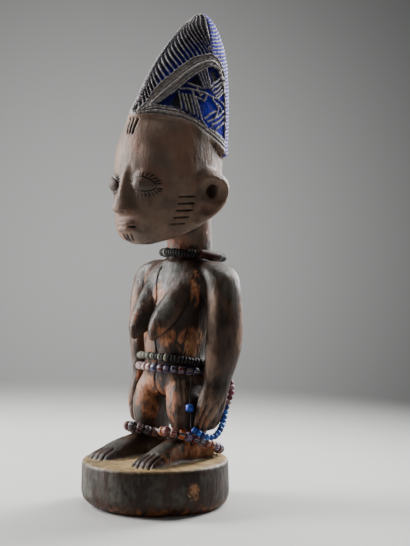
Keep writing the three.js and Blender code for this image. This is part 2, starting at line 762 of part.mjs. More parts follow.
/** The hanging string, thread and beads. */
function hangingString() {
  const places = HANGING_PATH.map(([x, y, h]) => placed(new THREE.Vector3(x, y, h)));
  const line = new THREE.CatmullRomCurve3(places);
  line.arcLengthDivisions = 800;
  const whole = line.getLength();
  const stops = [[0, THREAD_DIAMETER]];
  let reached = 0;
  for (const item of HANGING_ORDER) {
    if (item.kind === "thread") {
      const pieces = Math.ceil(item.length / 4);
      for (let k = 1; k <= pieces; k += 1) {
        stops.push([reached + (item.length * k) / pieces, THREAD_DIAMETER]);
      }
      reached += item.length;
      continue;
    }
    for (let k = 0; k < item.count; k += 1) {
      stops.push([reached + item.pitch * 0.5, item.diameter]);
      reached += item.pitch;
      const gap = k === item.count - 1 ? THREAD_DIAMETER : item.diameter * BEAD_WAIST;
      stops.push([reached, gap]);
    }
  }
  const reachedStops = stops.filter(([at]) => at <= whole);
  const rings = reachedStops.map(([at, width]) => {
    const middle = line.getPointAt(at / whole);
    const run = line.getTangentAt(at / whole);
    const out = new THREE.Vector3().crossVectors(run, new THREE.Vector3(1, 0, 0)).normalize();
    const up = new THREE.Vector3().crossVectors(out, run);
    return ringOf(middle, out, up, width / 2, SEED_BEAD.sides);
  });
  return skinned(rings);
}

/** A ring of points round a middle. */
function ringOf(middle, out, up, radius, sides) {
  const ring = [];
  for (let k = 0; k < sides; k += 1) {
    const angle = (2 * Math.PI * k) / sides;
    const offset = out.clone().multiplyScalar(Math.cos(angle)).addScaledVector(up, Math.sin(angle));
    ring.push(middle.clone().addScaledVector(offset, radius));
  }
  return ring;
}

const lowerLip = { ...LIP, stations: LIP.stations.map((s) => ({ ...s, mid: s.mid - LOWER_LIP_DROP })) };
const pieces = [
  base(),
  carved(TORSO),
  carved(NECK),
  carved(HEAD),
  coiffure(),
  carved(NOSE),
  carved(LIP),
  carved(lowerLip),
];
for (const side of [LEFT, RIGHT]) {
  const ear = carved(EAR, side).subtract(oval(EAR_CUP, side));
  pieces.push(ear, carved(EYELID, side), carved(EYE, side));
  pieces.push(carved(BREAST, side), carved(ARM, side), carved(LEG, side), carved(FOOT, side));
}
for (const side of [LEFT, RIGHT]) {
  for (const rows of HATCHES) {
    pieces.push(bar(traced(HAIR, rows), HATCH_WIDTH, -PANEL_RELIEF - 1.2, HATCH_RELIEF, side));
  }
}
let body = joined(pieces);
for (const side of [LEFT, RIGHT]) {
  body = body.subtract(oval(EAR_HOLE, side));
  for (const groove of [...cuts(ARM, FINGERS, FINGER_GROOVE, side), ...toeCuts(side)]) {
    body = body.subtract(groove);
  }
}

const neckString = beadRing(loopRound(NECK_LOOP, NECK_BEAD), NECK_BEAD);
const darkString = beadRing(ringRound(TORSO, DARK_STRING, DARK_BEAD), DARK_BEAD);
const stripedString = beadRing(ringRound(TORSO, STRIPED_STRING, STRIPED_BEAD), STRIPED_BEAD);
const leftAnklet = beadRing(loopRound(LEFT_LOOP, ANKLE_BEAD), ANKLE_BEAD, LEFT);
const rightAnklet = beadRing(loopRound(RIGHT_LOOP, ANKLE_BEAD), ANKLE_BEAD, RIGHT);

const WOOD = new THREE.MeshStandardMaterial({ color: "#3b2a22", roughness: 0.6, metalness: 0 });
const part = new THREE.Group();

/** Adds a solid to the part under a name. */
function add(name, solid, material) {
  const mesh = new THREE.Mesh(geometryOf(solid), material);
  mesh.name = name;
  part.add(mesh);
}

const DARK_GLASS = new THREE.MeshStandardMaterial({ color: "#26242a", roughness: 0.4, metalness: 0 });
const STRIPED_GLASS = new THREE.MeshStandardMaterial({ color: "#8d6f86", roughness: 0.35, metalness: 0 });
const BLUE_GLASS = new THREE.MeshStandardMaterial({ color: "#1f4fa8", roughness: 0.35, metalness: 0 });

add("figure", body, WOOD);
add("necklace", neckString, DARK_GLASS);
add("dark_waist_beads", darkString, DARK_GLASS);
add("striped_waist_beads", stripedString, STRIPED_GLASS);
add("right_anklet", rightAnklet, STRIPED_GLASS);
add("left_anklet", leftAnklet, STRIPED_GLASS);
add("hanging_beads", hangingString(), BLUE_GLASS);

export default part;
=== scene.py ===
"""An ibeji figure: the carved, handled and painted wood, its strings of glass beads, and the studio round it.

Sizes are in millimetres, as on a maker's drawing, and heights on the figure count from the soles of its feet,
which are let a little way into the base. Meshes are written in metres. +Z is up, the figure faces -Y and its
left hand is on the +X side.
"""

import logging
import math
import random
from collections.abc import Callable
from dataclasses import dataclass, field, fields
from enum import Enum
from functools import partial

import bmesh
import bpy
import numpy as np
from bpy.types import Mesh, Node, NodeTree, Object
from bpy.types import NodeSocket as Socket
from mathutils import Matrix, Vector, kdtree

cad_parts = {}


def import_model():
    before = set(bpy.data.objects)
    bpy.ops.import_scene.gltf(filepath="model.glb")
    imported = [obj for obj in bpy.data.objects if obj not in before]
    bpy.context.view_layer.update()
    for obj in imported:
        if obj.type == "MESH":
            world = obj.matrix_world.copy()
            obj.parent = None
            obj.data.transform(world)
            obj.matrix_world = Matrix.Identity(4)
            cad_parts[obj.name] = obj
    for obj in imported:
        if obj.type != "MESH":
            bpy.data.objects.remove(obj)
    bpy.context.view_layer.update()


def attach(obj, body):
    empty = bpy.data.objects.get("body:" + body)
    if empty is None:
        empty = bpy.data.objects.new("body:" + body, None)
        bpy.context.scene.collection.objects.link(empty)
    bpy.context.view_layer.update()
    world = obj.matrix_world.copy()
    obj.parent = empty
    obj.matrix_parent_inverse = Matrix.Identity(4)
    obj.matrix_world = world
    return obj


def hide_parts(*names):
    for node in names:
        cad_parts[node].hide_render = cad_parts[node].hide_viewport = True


LOG = logging.getLogger("ibeji_figure")
MM = 0.001
BODY = "root"

# Driving dimensions, as in the solids.
BASE_RADIUS = 41.6
BASE_THICKNESS = 25.9
FEET_SUNK = 2.4
SOLES = BASE_THICKNESS - FEET_SUNK
BASE_FOOT_INSET = 7.6
BASE_WEAR = 0.4
BASE_FOOT_RISE = 9.5
BASE_TOP_ROUND = 1.2
BASE_TAPER = 0.5
WEAR_TURN = math.radians(-133)
BEAD_CLEARANCE = 0.35
PLAITS = 22
PLAIT_RELIEF = 1.1
PANEL_DEPTH = 0.75
BORDER_RELIEF = 0.8

# From heights above the soles to the row frame.
FROM_SOLES = (0, 0, SOLES)
# A width that keeps a division finite.
LEAST_WIDTH = 0.1

Array = np.ndarray
Place = tuple[float, float, float]
Span = tuple[float, float]
Line = tuple[tuple[float, float], ...]
Shade = Socket | str


class Side(Enum):
    """The figure's own left and right."""

    LEFT = 1
    RIGHT = -1


class Axis(Enum):
    """The way that a form runs: across the figure, from front to back or upright."""

    X = "x"
    Y = "y"
    Z = "z"


class Tint(Enum):
    """What is on or worn into the wood, and painted light and shade, kept as a value at each point of it."""

    INDIGO = "indigo"
    FRESH = "fresh"
    # Sooty grime with painted shade, in the cuts and between the hair's lines.
    SOOT = "soot"
    CHALK = "chalk"
    CAMWOOD = "camwood"
    # Wear, which on the edges of the arms is painted light.
    WORN = "worn"
    # A grey-green dust film, which is a painted sheen on the shoulder, the arm, the breasts and the chest.
    PATINA = "patina"
    # Dust, and round the base's top edge a painted highlight.
    EARTH = "earth"
    # Painted shade: in the hollows, under the breasts, between the arms and the body, down the outer arm and
    # on the face.
    HOLLOW = "hollow"
    PROUD = "proud"


def along(at: Array, values: Array, place: Array) -> Array:
    """Reads a smooth curve through a list of values.

    Args:
        at: Where the values stand, rising.
        values: The values there.
        place: The places to read.

    Returns:
        The curve's value at each place.
    """
    last = len(at) - 1
    before = np.maximum(np.arange(last + 1) - 1, 0)
    after = np.minimum(np.arange(last + 1) + 1, last)
    slope = (values[after] - values[before]) / (at[after] - at[before])
    i = np.clip(np.searchsorted(at, place, side="left") - 1, 0, last - 1)
    span = at[i + 1] - at[i]
    t = np.clip((place - at[i]) / span, 0, 1)
    t2, t3 = t * t, t * t * t
    start = (2 * t3 - 3 * t2 + 1) * values[i] + (t3 - 2 * t2 + t) * span * slope[i]
    return start + (3 * t2 - 2 * t3) * values[i + 1] + (t3 - t2) * span * slope[i + 1]


def swell(value: Array, squareness: Array) -> Array:
    """Turns a sine or cosine into the share of a half width, between an ellipse (2) and a box (high)."""
    return np.sign(value) * np.abs(value) ** (2 / squareness)


def ramp(value: Array, low: float, high: float) -> Array:
    """Rises smoothly from 0 at the low value to 1 at the high one, or falls if low is above high."""
    t = np.clip((value - low) / (high - low), 0, 1)
    return t * t * (3 - 2 * t)


def on_side(points: Array, side: Side) -> Array:
    """Mirrors points, as drawn on the figure's left, to the side that they are for."""
    return points * (side.value, 1, 1)


@dataclass(frozen=True)
class Section:
    """A form's cross-sections at some places: their middles, half widths, reaches and squareness."""

    across: Array
    middle: Array
    wide: Array
    low: Array
    high: Array
    keen: Array


@dataclass(frozen=True)
class Form:
    """A lofted form of the figure, by its cross-sections.

    Each row is a section: where it stands, how far across its middle is, its middle's depth, its half width,
    its reach forward and back (or down and up), and how square its front is. A row without that last value
    takes the form's own squareness.
    """

    name: str
    rows: tuple[tuple[float, ...], ...]
    runs: Axis = Axis.Z
    back_squareness: float | None = None
    squareness: float = 2.0
    around: int = 48
    rings: int = 70

    @property
    def ends(self) -> Span:
        """Where its first and its last section stand."""
        return self.rows[0][0], self.rows[-1][0]

    def section(self, place: Array) -> Section:
        """Reads the cross-sections at some places, on smooth curves through the rows.

        Args:
            place: The places along the form.

        Returns:
            The cross-sections.
        """
        full = 1 + len(fields(Section))
        at, *columns = np.array([row + (self.squareness,) * (full - len(row)) for row in self.rows]).T
        return Section(*(along(at, column, place) for column in columns))

    def outline(self, place: Array, angle: Array, lift: Array | float = 0.0) -> Array:
        """Finds points of the form's surface.

        Args:
            place: Where along the form.
            angle: The angle round it, in radians: 0 is its left and a quarter turn on is its back or top.
            lift: How far off the surface.

        Returns:
            The points, in the figure's millimetres.
        """
        place, angle = np.broadcast_arrays(np.asarray(place, float), np.asarray(angle, float))
        cut = self.section(place)
        front = np.sin(angle) < 0
        squareness = np.where(front, cut.keen, self.back_squareness or cut.keen)
        side = cut.across + (cut.wide + lift) * swell(np.cos(angle), squareness)
        reach = np.where(front, cut.low, cut.high) + lift
        depth = cut.middle + reach * swell(np.sin(angle), squareness)
        order = {Axis.Z: (side, depth, place), Axis.Y: (side, place, depth), Axis.X: (place, side, depth)}
        return np.stack(order[self.runs], axis=-1)

    def turn_of(self, points: Array) -> Array:
        """Finds the angle round a standing form of points near its surface.

        Args:
            points: The points, by their heights above the soles.

        Returns:
            The angles, in radians.
        """
        cut = self.section(points[:, 2])
        front = points[:, 1] < cut.middle
        power = np.where(front, cut.keen, self.back_squareness or cut.keen) / 2
        left = (points[:, 0] - cut.across) / np.maximum(cut.wide, LEAST_WIDTH)
        back = (points[:, 1] - cut.middle) / np.maximum(np.where(front, cut.low, cut.high), LEAST_WIDTH)
        return np.arctan2(np.sign(back) * np.abs(back) ** power, np.sign(left) * np.abs(left) ** power)

    def out_of(self, place: Array, angle: Array) -> Array:
        """Finds the directions straight out of a standing form's surface.

        Args:
            place: The heights.
            angle: The angles round it, in radians.

        Returns:
            The directions.
        """
        step, swing = 0.5, 0.03
        up = self.outline(place + step, angle) - self.outline(place - step, angle)
        round_it = self.outline(place, angle + swing) - self.outline(place, angle - swing)
        out = np.cross(round_it, up)
        return out / np.linalg.norm(out, axis=-1, keepdims=True)

    def trace(self, stops: Line, steps: int = 12) -> Array:
        """Draws a line on the surface.

        Args:
            stops: The line's (height, turn in degrees) stops.
            steps: How many points between two stops.

        Returns:
            The line's points in the row frame, in millimetres.
        """
        stops = np.array(stops, float)
        share = np.linspace(0, len(stops) - 1, (len(stops) - 1) * steps + 1)
        height = np.interp(share, np.arange(len(stops)), stops[:, 0])
        turn = np.radians(np.interp(share, np.arange(len(stops)), stops[:, 1]))
        return self.outline(height, turn) + FROM_SOLES


TORSO = Form("torso", (
    (35.5, 0, 16, 5, 5, 6, 2.2), (38, 0, 16.4, 13, 13, 14, 2.3), (42, 0, 16.8, 18.8, 15.8, 19, 2.4),
    (47, 0, 16.6, 20, 16, 19.8, 2.4), (52, 0, 15.8, 18.8, 15.2, 17.4, 2.4), (59, 0, 15, 17.4, 14.5, 16, 2.4),
    (68, 0, 15, 17.8, 15, 18, 2.4), (80, 0, 17, 19, 16, 17.8, 2.4), (92, 0, 20, 21.5, 17.5, 16, 2.4),
    (101, 0, 22, 25, 16.5, 15, 2.4), (106, 0, 23, 25, 15, 14, 2.4), (110.5, 0, 24, 20, 13, 13, 2.3),
    (113, 0, 24.5, 14.5, 12, 12, 2.2),
))
NECK = Form("neck", (
    (104, 0, 26, 14, 13.4, 11.6), (113, 0, 27.2, 13.2, 13.2, 13), (124, 0, 27, 13, 13, 13),
    (140, 0, 23, 15, 15, 15),
))
BREAST = Form("breast", (
    (69, 7.4, -9.4, 1.2, 1.2, 1.2), (72.5, 7.6, -7, 4.6, 4.4, 4.6), (77.5, 8, -3.6, 7.4, 7.4, 8),
    (84.5, 8.7, 1.6, 9, 9, 9), (93.5, 10, 8.5, 9, 9, 9), (102, 11.5, 14, 7, 7, 7),
), squareness=1.55)
ARM = Form("arm", (
    (18.8, 25, 14, 2.6, 6.4, 6.8, 2.4), (21, 25.6, 14.4, 3.6, 8.6, 8.6, 2.4),
    (26, 26.8, 15, 4.2, 9.6, 10.2, 2.4), (33, 28.2, 16, 4.8, 9.8, 10.4, 2.4),
    (40, 28.6, 18, 5.2, 9.8, 9.6, 2.4), (47, 29, 20.4, 5.4, 9.4, 9.2, 2.3),
    (54, 29.8, 22.4, 6.5, 11, 9.8, 2.3), (63, 30.8, 23.8, 7.3, 12.6, 10.6, 2.3),
    (75, 31.7, 24.2, 7.9, 12.4, 10.5, 2.3), (90, 31.4, 24, 8.4, 11.2, 9.8, 2.3),
    (99, 29.6, 24, 9, 9.8, 9.8, 2.3), (105.5, 27, 24.2, 9.4, 9.6, 9.6, 2.3),
    (110, 23, 24.4, 7.6, 8.2, 8.2, 2.3), (112.6, 19.4, 24.5, 3.4, 4.2, 4.2, 2.3),
))
LEG = Form("leg", (
    (-3, 16, 14, 7, 12, 12, 2.6), (3, 16, 14, 7, 12, 12, 2.6), (9, 15.6, 14, 6.6, 11.6, 10, 2.6),
    (15.5, 15.2, 13.5, 6.4, 11.4, 9, 2.6), (22, 14.8, 13.5, 7.2, 13.2, 12, 2.8),
    (29, 14, 14, 8.2, 15, 15.5, 3), (37, 13, 14.5, 8.4, 14.8, 18.6, 2.8), (44, 11.8, 15, 7.6, 13.6, 18, 2.6),
    (50, 10.6, 15, 5.4, 10, 13, 2.4),
))
FOOT = Form("foot", (
    (-29.4, 18, 0.8, 5.2, 1.2, 0.8), (-28.4, 18, 1.4, 7.4, 2.2, 1.9), (-25.5, 18.2, 2.4, 8.8, 3.4, 3.9),
    (-19, 17.8, 3.4, 8.9, 4.4, 5.8), (-12, 16.8, 4.4, 8.4, 5.4, 7.6), (-4, 15.5, 5, 7.2, 6, 9.2),
    (4, 15, 5.6, 6.4, 6.6, 10.2), (12, 15.6, 5.6, 6.4, 6.6, 10.2), (19, 16.6, 5, 6.6, 6, 7.2),
    (24, 17, 4.2, 5.8, 5.2, 3.8), (26.6, 17.2, 3.2, 3.4, 4.2, 2.2),
), runs=Axis.Y, squareness=2.4)
HEAD = Form("head", (
    (122.4, 0, -9.6, 4.4, 4.4, 5, 2.2), (126, 0, -4, 15.5, 15.5, 12, 2.2), (132, 0, 3, 21, 24.5, 22, 2.2),
    (140, 0, 8, 24, 30, 29, 2.2), (150, 0, 10, 25.6, 32, 32.5, 2.2), (162, 0, 10.5, 26.2, 32, 33, 2.2),
    (175, 0, 11.5, 26, 31.8, 32, 2.1), (186, 0, 14, 25, 32, 29.5, 1.8), (195, 0, 18, 23.2, 31.8, 24.5, 1.62),
), back_squareness=2.1, around=72)
HAIR = Form("hair", (
    (170, 0, 12.5, 26, 33.4, 30), (182, 0, 15.5, 25.4, 33.8, 27.4), (194.5, 0, 20, 24.2, 35.9, 23.6),
    (202.5, 0, 23.5, 22.4, 34, 21.2), (212, 0, 26.5, 20.2, 31.7, 19.2), (221, 0, 29, 18, 28.3, 17.6),
    (229, 0, 31, 15.4, 23.9, 15.8), (235, 0, 32.5, 13, 20, 14), (244.8, 0, 34.5, 8.2, 12.3, 10),
    (250, 0, 35.8, 5.2, 6.1, 6), (252.8, 0, 36, 2.6, 2.7, 3.2),
), back_squareness=3.2, squareness=1.6, around=200, rings=160)
EYELID = Form("eyelid", (
    (3.4, -20.8, 155.6, 0.6, 0.6, 0.6), (7, -19.6, 156, 3, 4.8, 5.2), (11.5, -18.2, 156.3, 3.8, 6.6, 7),
    (16, -15.4, 155.8, 3.4, 4.8, 5), (20.6, -11, 154.4, 0.8, 0.6, 0.6),
), runs=Axis.X)
EYE = Form("eye", (
    (4.8, -21, 155.4, 0.6, 0.4, 0.4), (7.8, -20.2, 155.5, 3.4, 3, 3.2), (11.5, -18.9, 155.6, 4.6, 4.3, 4.6),
    (15.4, -16.3, 155.2, 4, 3, 3.2), (19, -12.9, 154.4, 0.8, 0.4, 0.4),
), runs=Axis.X)
NOSE = Form("nose", (
    (139.6, 0, -22, 5.4, 5.4, 3), (141.6, 0, -22, 7, 7.4, 3), (145.5, 0, -21.6, 5.8, 7.2, 3),
    (151, 0, -21.2, 3.8, 5.4, 3), (158, 0, -20.8, 2.8, 3.8, 3), (166, 0, -20.4, 3.4, 1.4, 3),
))
UPPER_LIP = Form("upper_lip", (
    (-8.6, -19.4, 133.2, 0.6, 0.4, 0.4), (-4.6, -21.2, 134.2, 2.6, 1.4, 1.5), (0, -21.9, 134, 3.2, 1.4, 1.7),
    (4.6, -21.2, 134.2, 2.6, 1.4, 1.5), (8.6, -19.4, 133.2, 0.6, 0.4, 0.4),
), runs=Axis.X)
LIPS_APART = 3.2
LOWER_LIP = Form(
    "lower_lip",
    tuple((at, across, mid - LIPS_APART, *rest) for at, across, mid, *rest in UPPER_LIP.rows),
    runs=Axis.X,
)
EAR = Form("ear", (
    (133.5, 23.4, 9.6, 1.6, 1.6, 2), (138, 25.6, 14, 3.4, 4.6, 6), (144, 27.6, 17, 5, 7, 9),
    (151, 28.8, 18.2, 5.8, 8, 10), (157, 28.6, 18.2, 5.4, 8, 9.6), (161.5, 27.2, 17.4, 3.8, 6, 7),
    (164, 26, 16.6, 1.6, 3, 3),
))


def deselect_all() -> None:
    """Leaves nothing selected, so that an operator acts on the new work alone."""
    if bpy.context.mode != "OBJECT":
        bpy.ops.object.mode_set(mode="OBJECT")
    bpy.ops.object.select_all(action="DESELECT")


def work_on(obj: Object) -> None:
    """Selects one object alone and makes it the active one.

    Args:
        obj: The object.
    """
    deselect_all()
    obj.select_set(True)
    bpy.context.view_layer.objects.active = obj


def read_vectors(mesh: Mesh, name: str) -> Array:
    """Reads a vector of every point of a mesh.

    Args:
        mesh: The mesh.
        name: Which vector: the place, "co", or the direction outward, "normal".

    Returns:
        A row of three values for each point.
    """
    flat = np.empty(len(mesh.vertices) * 3, np.float32)
    mesh.vertices.foreach_get(name, flat)
    return flat.reshape(-1, 3).astype(float)


def points_of(mesh: Mesh) -> Array:
    """Reads a mesh's points, in millimetres."""
    return read_vectors(mesh, "co") / MM


def place_points(mesh: Mesh, points: Array) -> None:
    """Writes a mesh's points, given in millimetres."""
    mesh.vertices.foreach_set("co", (points * MM).astype(np.float32).ravel())
    mesh.update()


def apply_modifier(obj: Object, kind: str, **settings: object) -> None:
    """Adds a modifier with its settings and applies it.

    Args:
        obj: The object.
        kind: The modifier's type.
        settings: Its own settings.
    """
    work_on(obj)
    modifier = obj.modifiers.new(kind.lower(), kind)
    for name, value in settings.items():
        setattr(modifier, name, value)
    bpy.ops.object.modifier_apply(modifier=modifier.name)


def face_outward(obj: Object) -> None:
    """Turns every face of a closed mesh outward.

    Args:
        obj: The mesh's object.
    """
    work_on(obj)
    bpy.ops.object.mode_set(mode="EDIT")
    bpy.ops.mesh.select_all(action="SELECT")
    bpy.ops.mesh.normals_make_consistent(inside=False)
    bpy.ops.object.mode_set(mode="OBJECT")


def join(parts: list[Object], name: str) -> Object:
    """Joins objects into one mesh.

    Args:
        parts: The objects.
        name: The joined object's name.

    Returns:
        The joined object.
    """
    work_on(parts[0])
    for part in parts:
        part.select_set(True)
    bpy.ops.object.join()
    joined = bpy.context.active_object
    joined.name = name
    joined.data.name = name
    return joined


def add_sleeve(around: int, rings: int) -> Object:
    """Adds a cylinder of unit size with rings of edges along it.

    Args:
        around: How many points in a ring.
        rings: How many rings, both ends included.

    Returns:
        The cylinder, from -0.5 to 0.5 along Z.
    """
    deselect_all()
    bpy.ops.mesh.primitive_cylinder_add(vertices=around, radius=1, depth=1, end_fill_type="TRIFAN")
    sleeve = bpy.context.active_object
    bpy.ops.object.mode_set(mode="EDIT")
    bpy.ops.mesh.select_mode(type="EDGE")
    bpy.ops.mesh.select_all(action="DESELECT")
    shape = bmesh.from_edit_mesh(sleeve.data)
    for edge in shape.edges:
        edge.select_set(abs(edge.verts[0].co.z - edge.verts[1].co.z) > 0.5)
    bmesh.update_edit_mesh(sleeve.data)
    bpy.ops.mesh.subdivide(number_cuts=rings - 2)
    bpy.ops.object.mode_set(mode="OBJECT")
    return sleeve


def add_loft(form: Form, side: Side = Side.LEFT, lift: Callable[..., Array] | None = None) -> Object:
    """Shapes a ringed cylinder to a form.

    Args:
        form: The form.
        side: The figure's left, as drawn, or its right, mirrored.
        lift: A function of height and angle that says how far off the form the surface lies.

    Returns:
        The closed mesh.
    """
    loft = add_sleeve(form.around, form.rings)
    loft.name = form.name
    unit = points_of(loft.data) * MM
    first, last = form.ends
    place = first + (unit[:, 2] + 0.5) * (last - first)
    angle = np.arctan2(unit[:, 1], unit[:, 0])
    radius = np.hypot(unit[:, 0], unit[:, 1])
    raised = lift(place, angle) if lift else 0.0
    points = form.outline(place, angle, raised)
    middle = (form.outline(place, 0 * angle) + form.outline(place, 0 * angle + math.pi)) / 2
    on_wall = radius[:, None] > 0.5
    place_points(loft.data, on_side(np.where(on_wall, points, middle), side) + FROM_SOLES)
    face_outward(loft)
    return loft


def add_oval(middle: Place, radii: Place, side: Side) -> Object:
    """Adds an egg-shaped lump.

    Args:
        middle: Its middle on the figure, in millimetres.
        radii: Its half sizes.
        side: Which side of the figure it is on.

    Returns:
        The lump.
    """
    deselect_all()
    bpy.ops.mesh.primitive_uv_sphere_add(segments=32, ring_count=20, radius=1)
    oval = bpy.context.active_object
    points = points_of(oval.data) * MM * np.array(radii) + np.array(middle)
    place_points(oval.data, on_side(points, side) + FROM_SOLES)
    face_outward(oval)
    return oval


def cut_away(obj: Object, cutter: Object) -> None:
    """Cuts one object's shape out of another and deletes it."""
    apply_modifier(obj, "BOOLEAN", operation="DIFFERENCE", solver="EXACT", object=cutter)
    bpy.data.objects.remove(cutter)


@dataclass(frozen=True)
class Cut:
    """A groove: its width, its depth (below zero for a raised line) and what gathers in it, by default sooty
    grime with painted shade.
    """

    width: float
    depth: float
    tint: Tint | None = Tint.SOOT


@dataclass(frozen=True)
class Dab:
    """A patch of a tint: its middle, how far it reaches, how thick it is and the sides it is laid on."""

    place: Place
    reach: Place
    amount: float
    sides: tuple[Side, ...] = tuple(Side)


class Surface:
    """The wood's surface as arrays: its points, the directions out of it and the tints on it."""

    # A groove's wall stands between these shares of its width. Its ends rise over a share of its length, up
    # to a share of its depth.
    GROOVE_WALL = (0.62, 0.1)
    GROOVE_ENDS = 0.06
    END_DEPTH = 0.35
    # The skin's own evened shape tells how far a place is sunk or proud, in millimetres. Sunk places get
    # painted shade, and proud ones wear.
    EVEN_ROUNDS = 14
    HOLLOW_DEPTHS = (0.05, 0.9)
    PROUD_HEIGHTS = (0.08, 0.8)
    DAB_CORE = 0.25

    def __init__(self, mesh: Mesh) -> None:
        """Reads a mesh.

        Args:
            mesh: The carved figure's mesh.
        """
        self.mesh = mesh
        self.points = points_of(mesh)
        self.tints = {tint: np.zeros(len(self.points)) for tint in Tint}
        edges = np.empty(len(mesh.edges) * 2, np.int32)
        mesh.edges.foreach_get("vertices", edges)
        self.edges = edges.reshape(-1, 2)
        self.ties = np.bincount(self.edges.ravel(), minlength=len(self.points)).astype(float)
        self.normals = read_vectors(mesh, "normal")

    @property
    def heights(self) -> Array:
        """Heights above the soles."""
        return self.points[:, 2] - SOLES

    def settle(self) -> None:
        """Writes the moved points to the mesh and reads the directions out of it again."""
        place_points(self.mesh, self.points)
        self.normals = read_vectors(self.mesh, "normal")

    def blurred(self, values: Array, rounds: int) -> Array:
        """Evens values out over the surface by averaging neighbours.

        Args:
            values: A value or a row of values at each point.
            rounds: How many times.

        Returns:
            The evened values.
        """
        ties = self.ties if values.ndim == 1 else self.ties[:, None]
        for _ in range(rounds):
            total = np.zeros_like(values)
            np.add.at(total, self.edges[:, 0], values[self.edges[:, 1]])
            np.add.at(total, self.edges[:, 1], values[self.edges[:, 0]])
            values = 0.5 * values + 0.5 * total / ties
        return values

    def near(self, path: Array, reach: float) -> tuple[Array, Array, Array]:
        """Finds the points close to a line.

        Args:
            path: The line's points, in millimetres.
            reach: How close.

        Returns:
            The numbers of the points, their distances from the line and how far along it they are, 0 to 1.
        """
        low, high = path.min(axis=0) - reach, path.max(axis=0) + reach
        picked = np.nonzero(np.all((self.points > low) & (self.points < high), axis=1))[0]
        distance, share = distance_to(self.points[picked], path)
        close = distance < reach
        return picked[close], distance[close], share[close]

    def groove(self, path: Array, cut: Cut, side: Side = Side.LEFT) -> None:
        """Cuts a groove along a line, shallower at its ends.

        Args:
            path: The line's points in the row frame, as drawn on the figure's left.
            cut: The groove's section.
            side: The side of the figure that it is cut on.
        """
        picked, distance, share = self.near(on_side(path, side), cut.width)
        fade = ramp(share, 0, self.GROOVE_ENDS) * ramp(share, 1, 1 - self.GROOVE_ENDS)
        edge, foot = (cut.width * wall for wall in self.GROOVE_WALL)
        carved = ramp(distance, edge, foot) * (self.END_DEPTH + (1 - self.END_DEPTH) * fade)
        self.points[picked] -= self.normals[picked] * (carved * cut.depth)[:, None]
        if cut.tint:
            self.tints[cut.tint][picked] = np.maximum(self.tints[cut.tint][picked], carved)

    def lay(self, tint: Tint, amount: Array) -> None:
        """Lays a tint wherever the surface has less of it."""
        self.tints[tint] = np.maximum(self.tints[tint], amount)

    def dab(self, tint: Tint, dab: Dab) -> None:
        """Lays a tint on the surface round a place, fading outward.

        Args:
            tint: The tint.
            dab: The patch, as it lies on the figure's left.
        """
        for side in dab.sides:
            middle = on_side(np.array(dab.place), side) + FROM_SOLES
            away = np.linalg.norm((self.points - middle) / np.array(dab.reach), axis=1)
            self.lay(tint, dab.amount * ramp(away, 1, self.DAB_CORE))

    def read_hollows(self) -> None:
        """Paints shade into the surface's hollows and finds where it stands proud, from its own shape."""
        even = self.blurred(self.points, self.EVEN_ROUNDS)
        depth = np.einsum("ij,ij->i", even - self.points, self.normals)
        self.tints[Tint.HOLLOW] = ramp(depth, *self.HOLLOW_DEPTHS)
        self.tints[Tint.PROUD] = ramp(-depth, *self.PROUD_HEIGHTS)

    def store(self) -> None:
        """Writes the points and the tints to the mesh."""
        place_points(self.mesh, self.points)
        for tint, values in self.tints.items():
            layer = self.mesh.attributes.new(tint.value, "FLOAT", "POINT")
            layer.data.foreach_set("value", np.clip(values, 0, 1).astype(np.float32))


def distance_to(points: Array, path: Array) -> tuple[Array, Array]:
    """Measures points against a line.

    Args:
        points: The points, in millimetres.
        path: The line's points.

    Returns:
        Each point's distance from the line, and how far along the line its nearest place is, 0 to 1.
    """
    best = np.full(len(points), 1e9)
    share = np.zeros(len(points))
    lengths = np.linalg.norm(np.diff(path, axis=0), axis=1)
    reached = np.concatenate([[0], np.cumsum(lengths)])
    for i, length in enumerate(lengths):
        run = (path[i + 1] - path[i]) / max(length, 1e-6)
        t = np.clip((points - path[i]) @ run, 0, length)
        away = np.linalg.norm(points - path[i] - t[:, None] * run, axis=1)
        closer = away < best
        best[closer] = away[closer]
        share[closer] = (reached[i] + t[closer]) / reached[-1]
    return best, share


def srgb(colour: str) -> tuple[float, float, float, float]:
    """Turns an sRGB hex colour into linear values with full alpha."""
    parts = [int(colour[i : i + 2], 16) / 255 for i in (1, 3, 5)]
    return (*(p / 12.92 if p <= 0.04045 else ((p + 0.055) / 1.055) ** 2.4 for p in parts), 1.0)


def add_node(tree: NodeTree, kind: str, links: dict | None = None, **settings: object) -> Node:
    """Adds a node to a material.

    Args:
        tree: The material's node tree.
        kind: The node's type, without its "ShaderNode" start.
        links: Input name or number to the output, the plain value or the hex colour that it takes.
        settings: The node's own settings.

    Returns:
        The node.
    """
    node = tree.nodes.new("ShaderNode" + kind)
    for name, value in settings.items():
        setattr(node, name, value)
    for name, value in (links or {}).items():
        if isinstance(value, Socket):
            tree.links.new(value, node.inputs[name])
        else:
            node.inputs[name].default_value = srgb(value) if isinstance(value, str) else value
    return node


@dataclass(frozen=True)
class Grain:
    """A scatter of soft patches of a real size.

    It holds the size of a patch, the values of the noise where one begins and is full, how many finer layers
    its edge has, and how many times longer it is along each axis.
    """

    size_mm: float
    begins: float
    full: float
    detail: float = 3
    stretch: Place = (1, 1, 1)


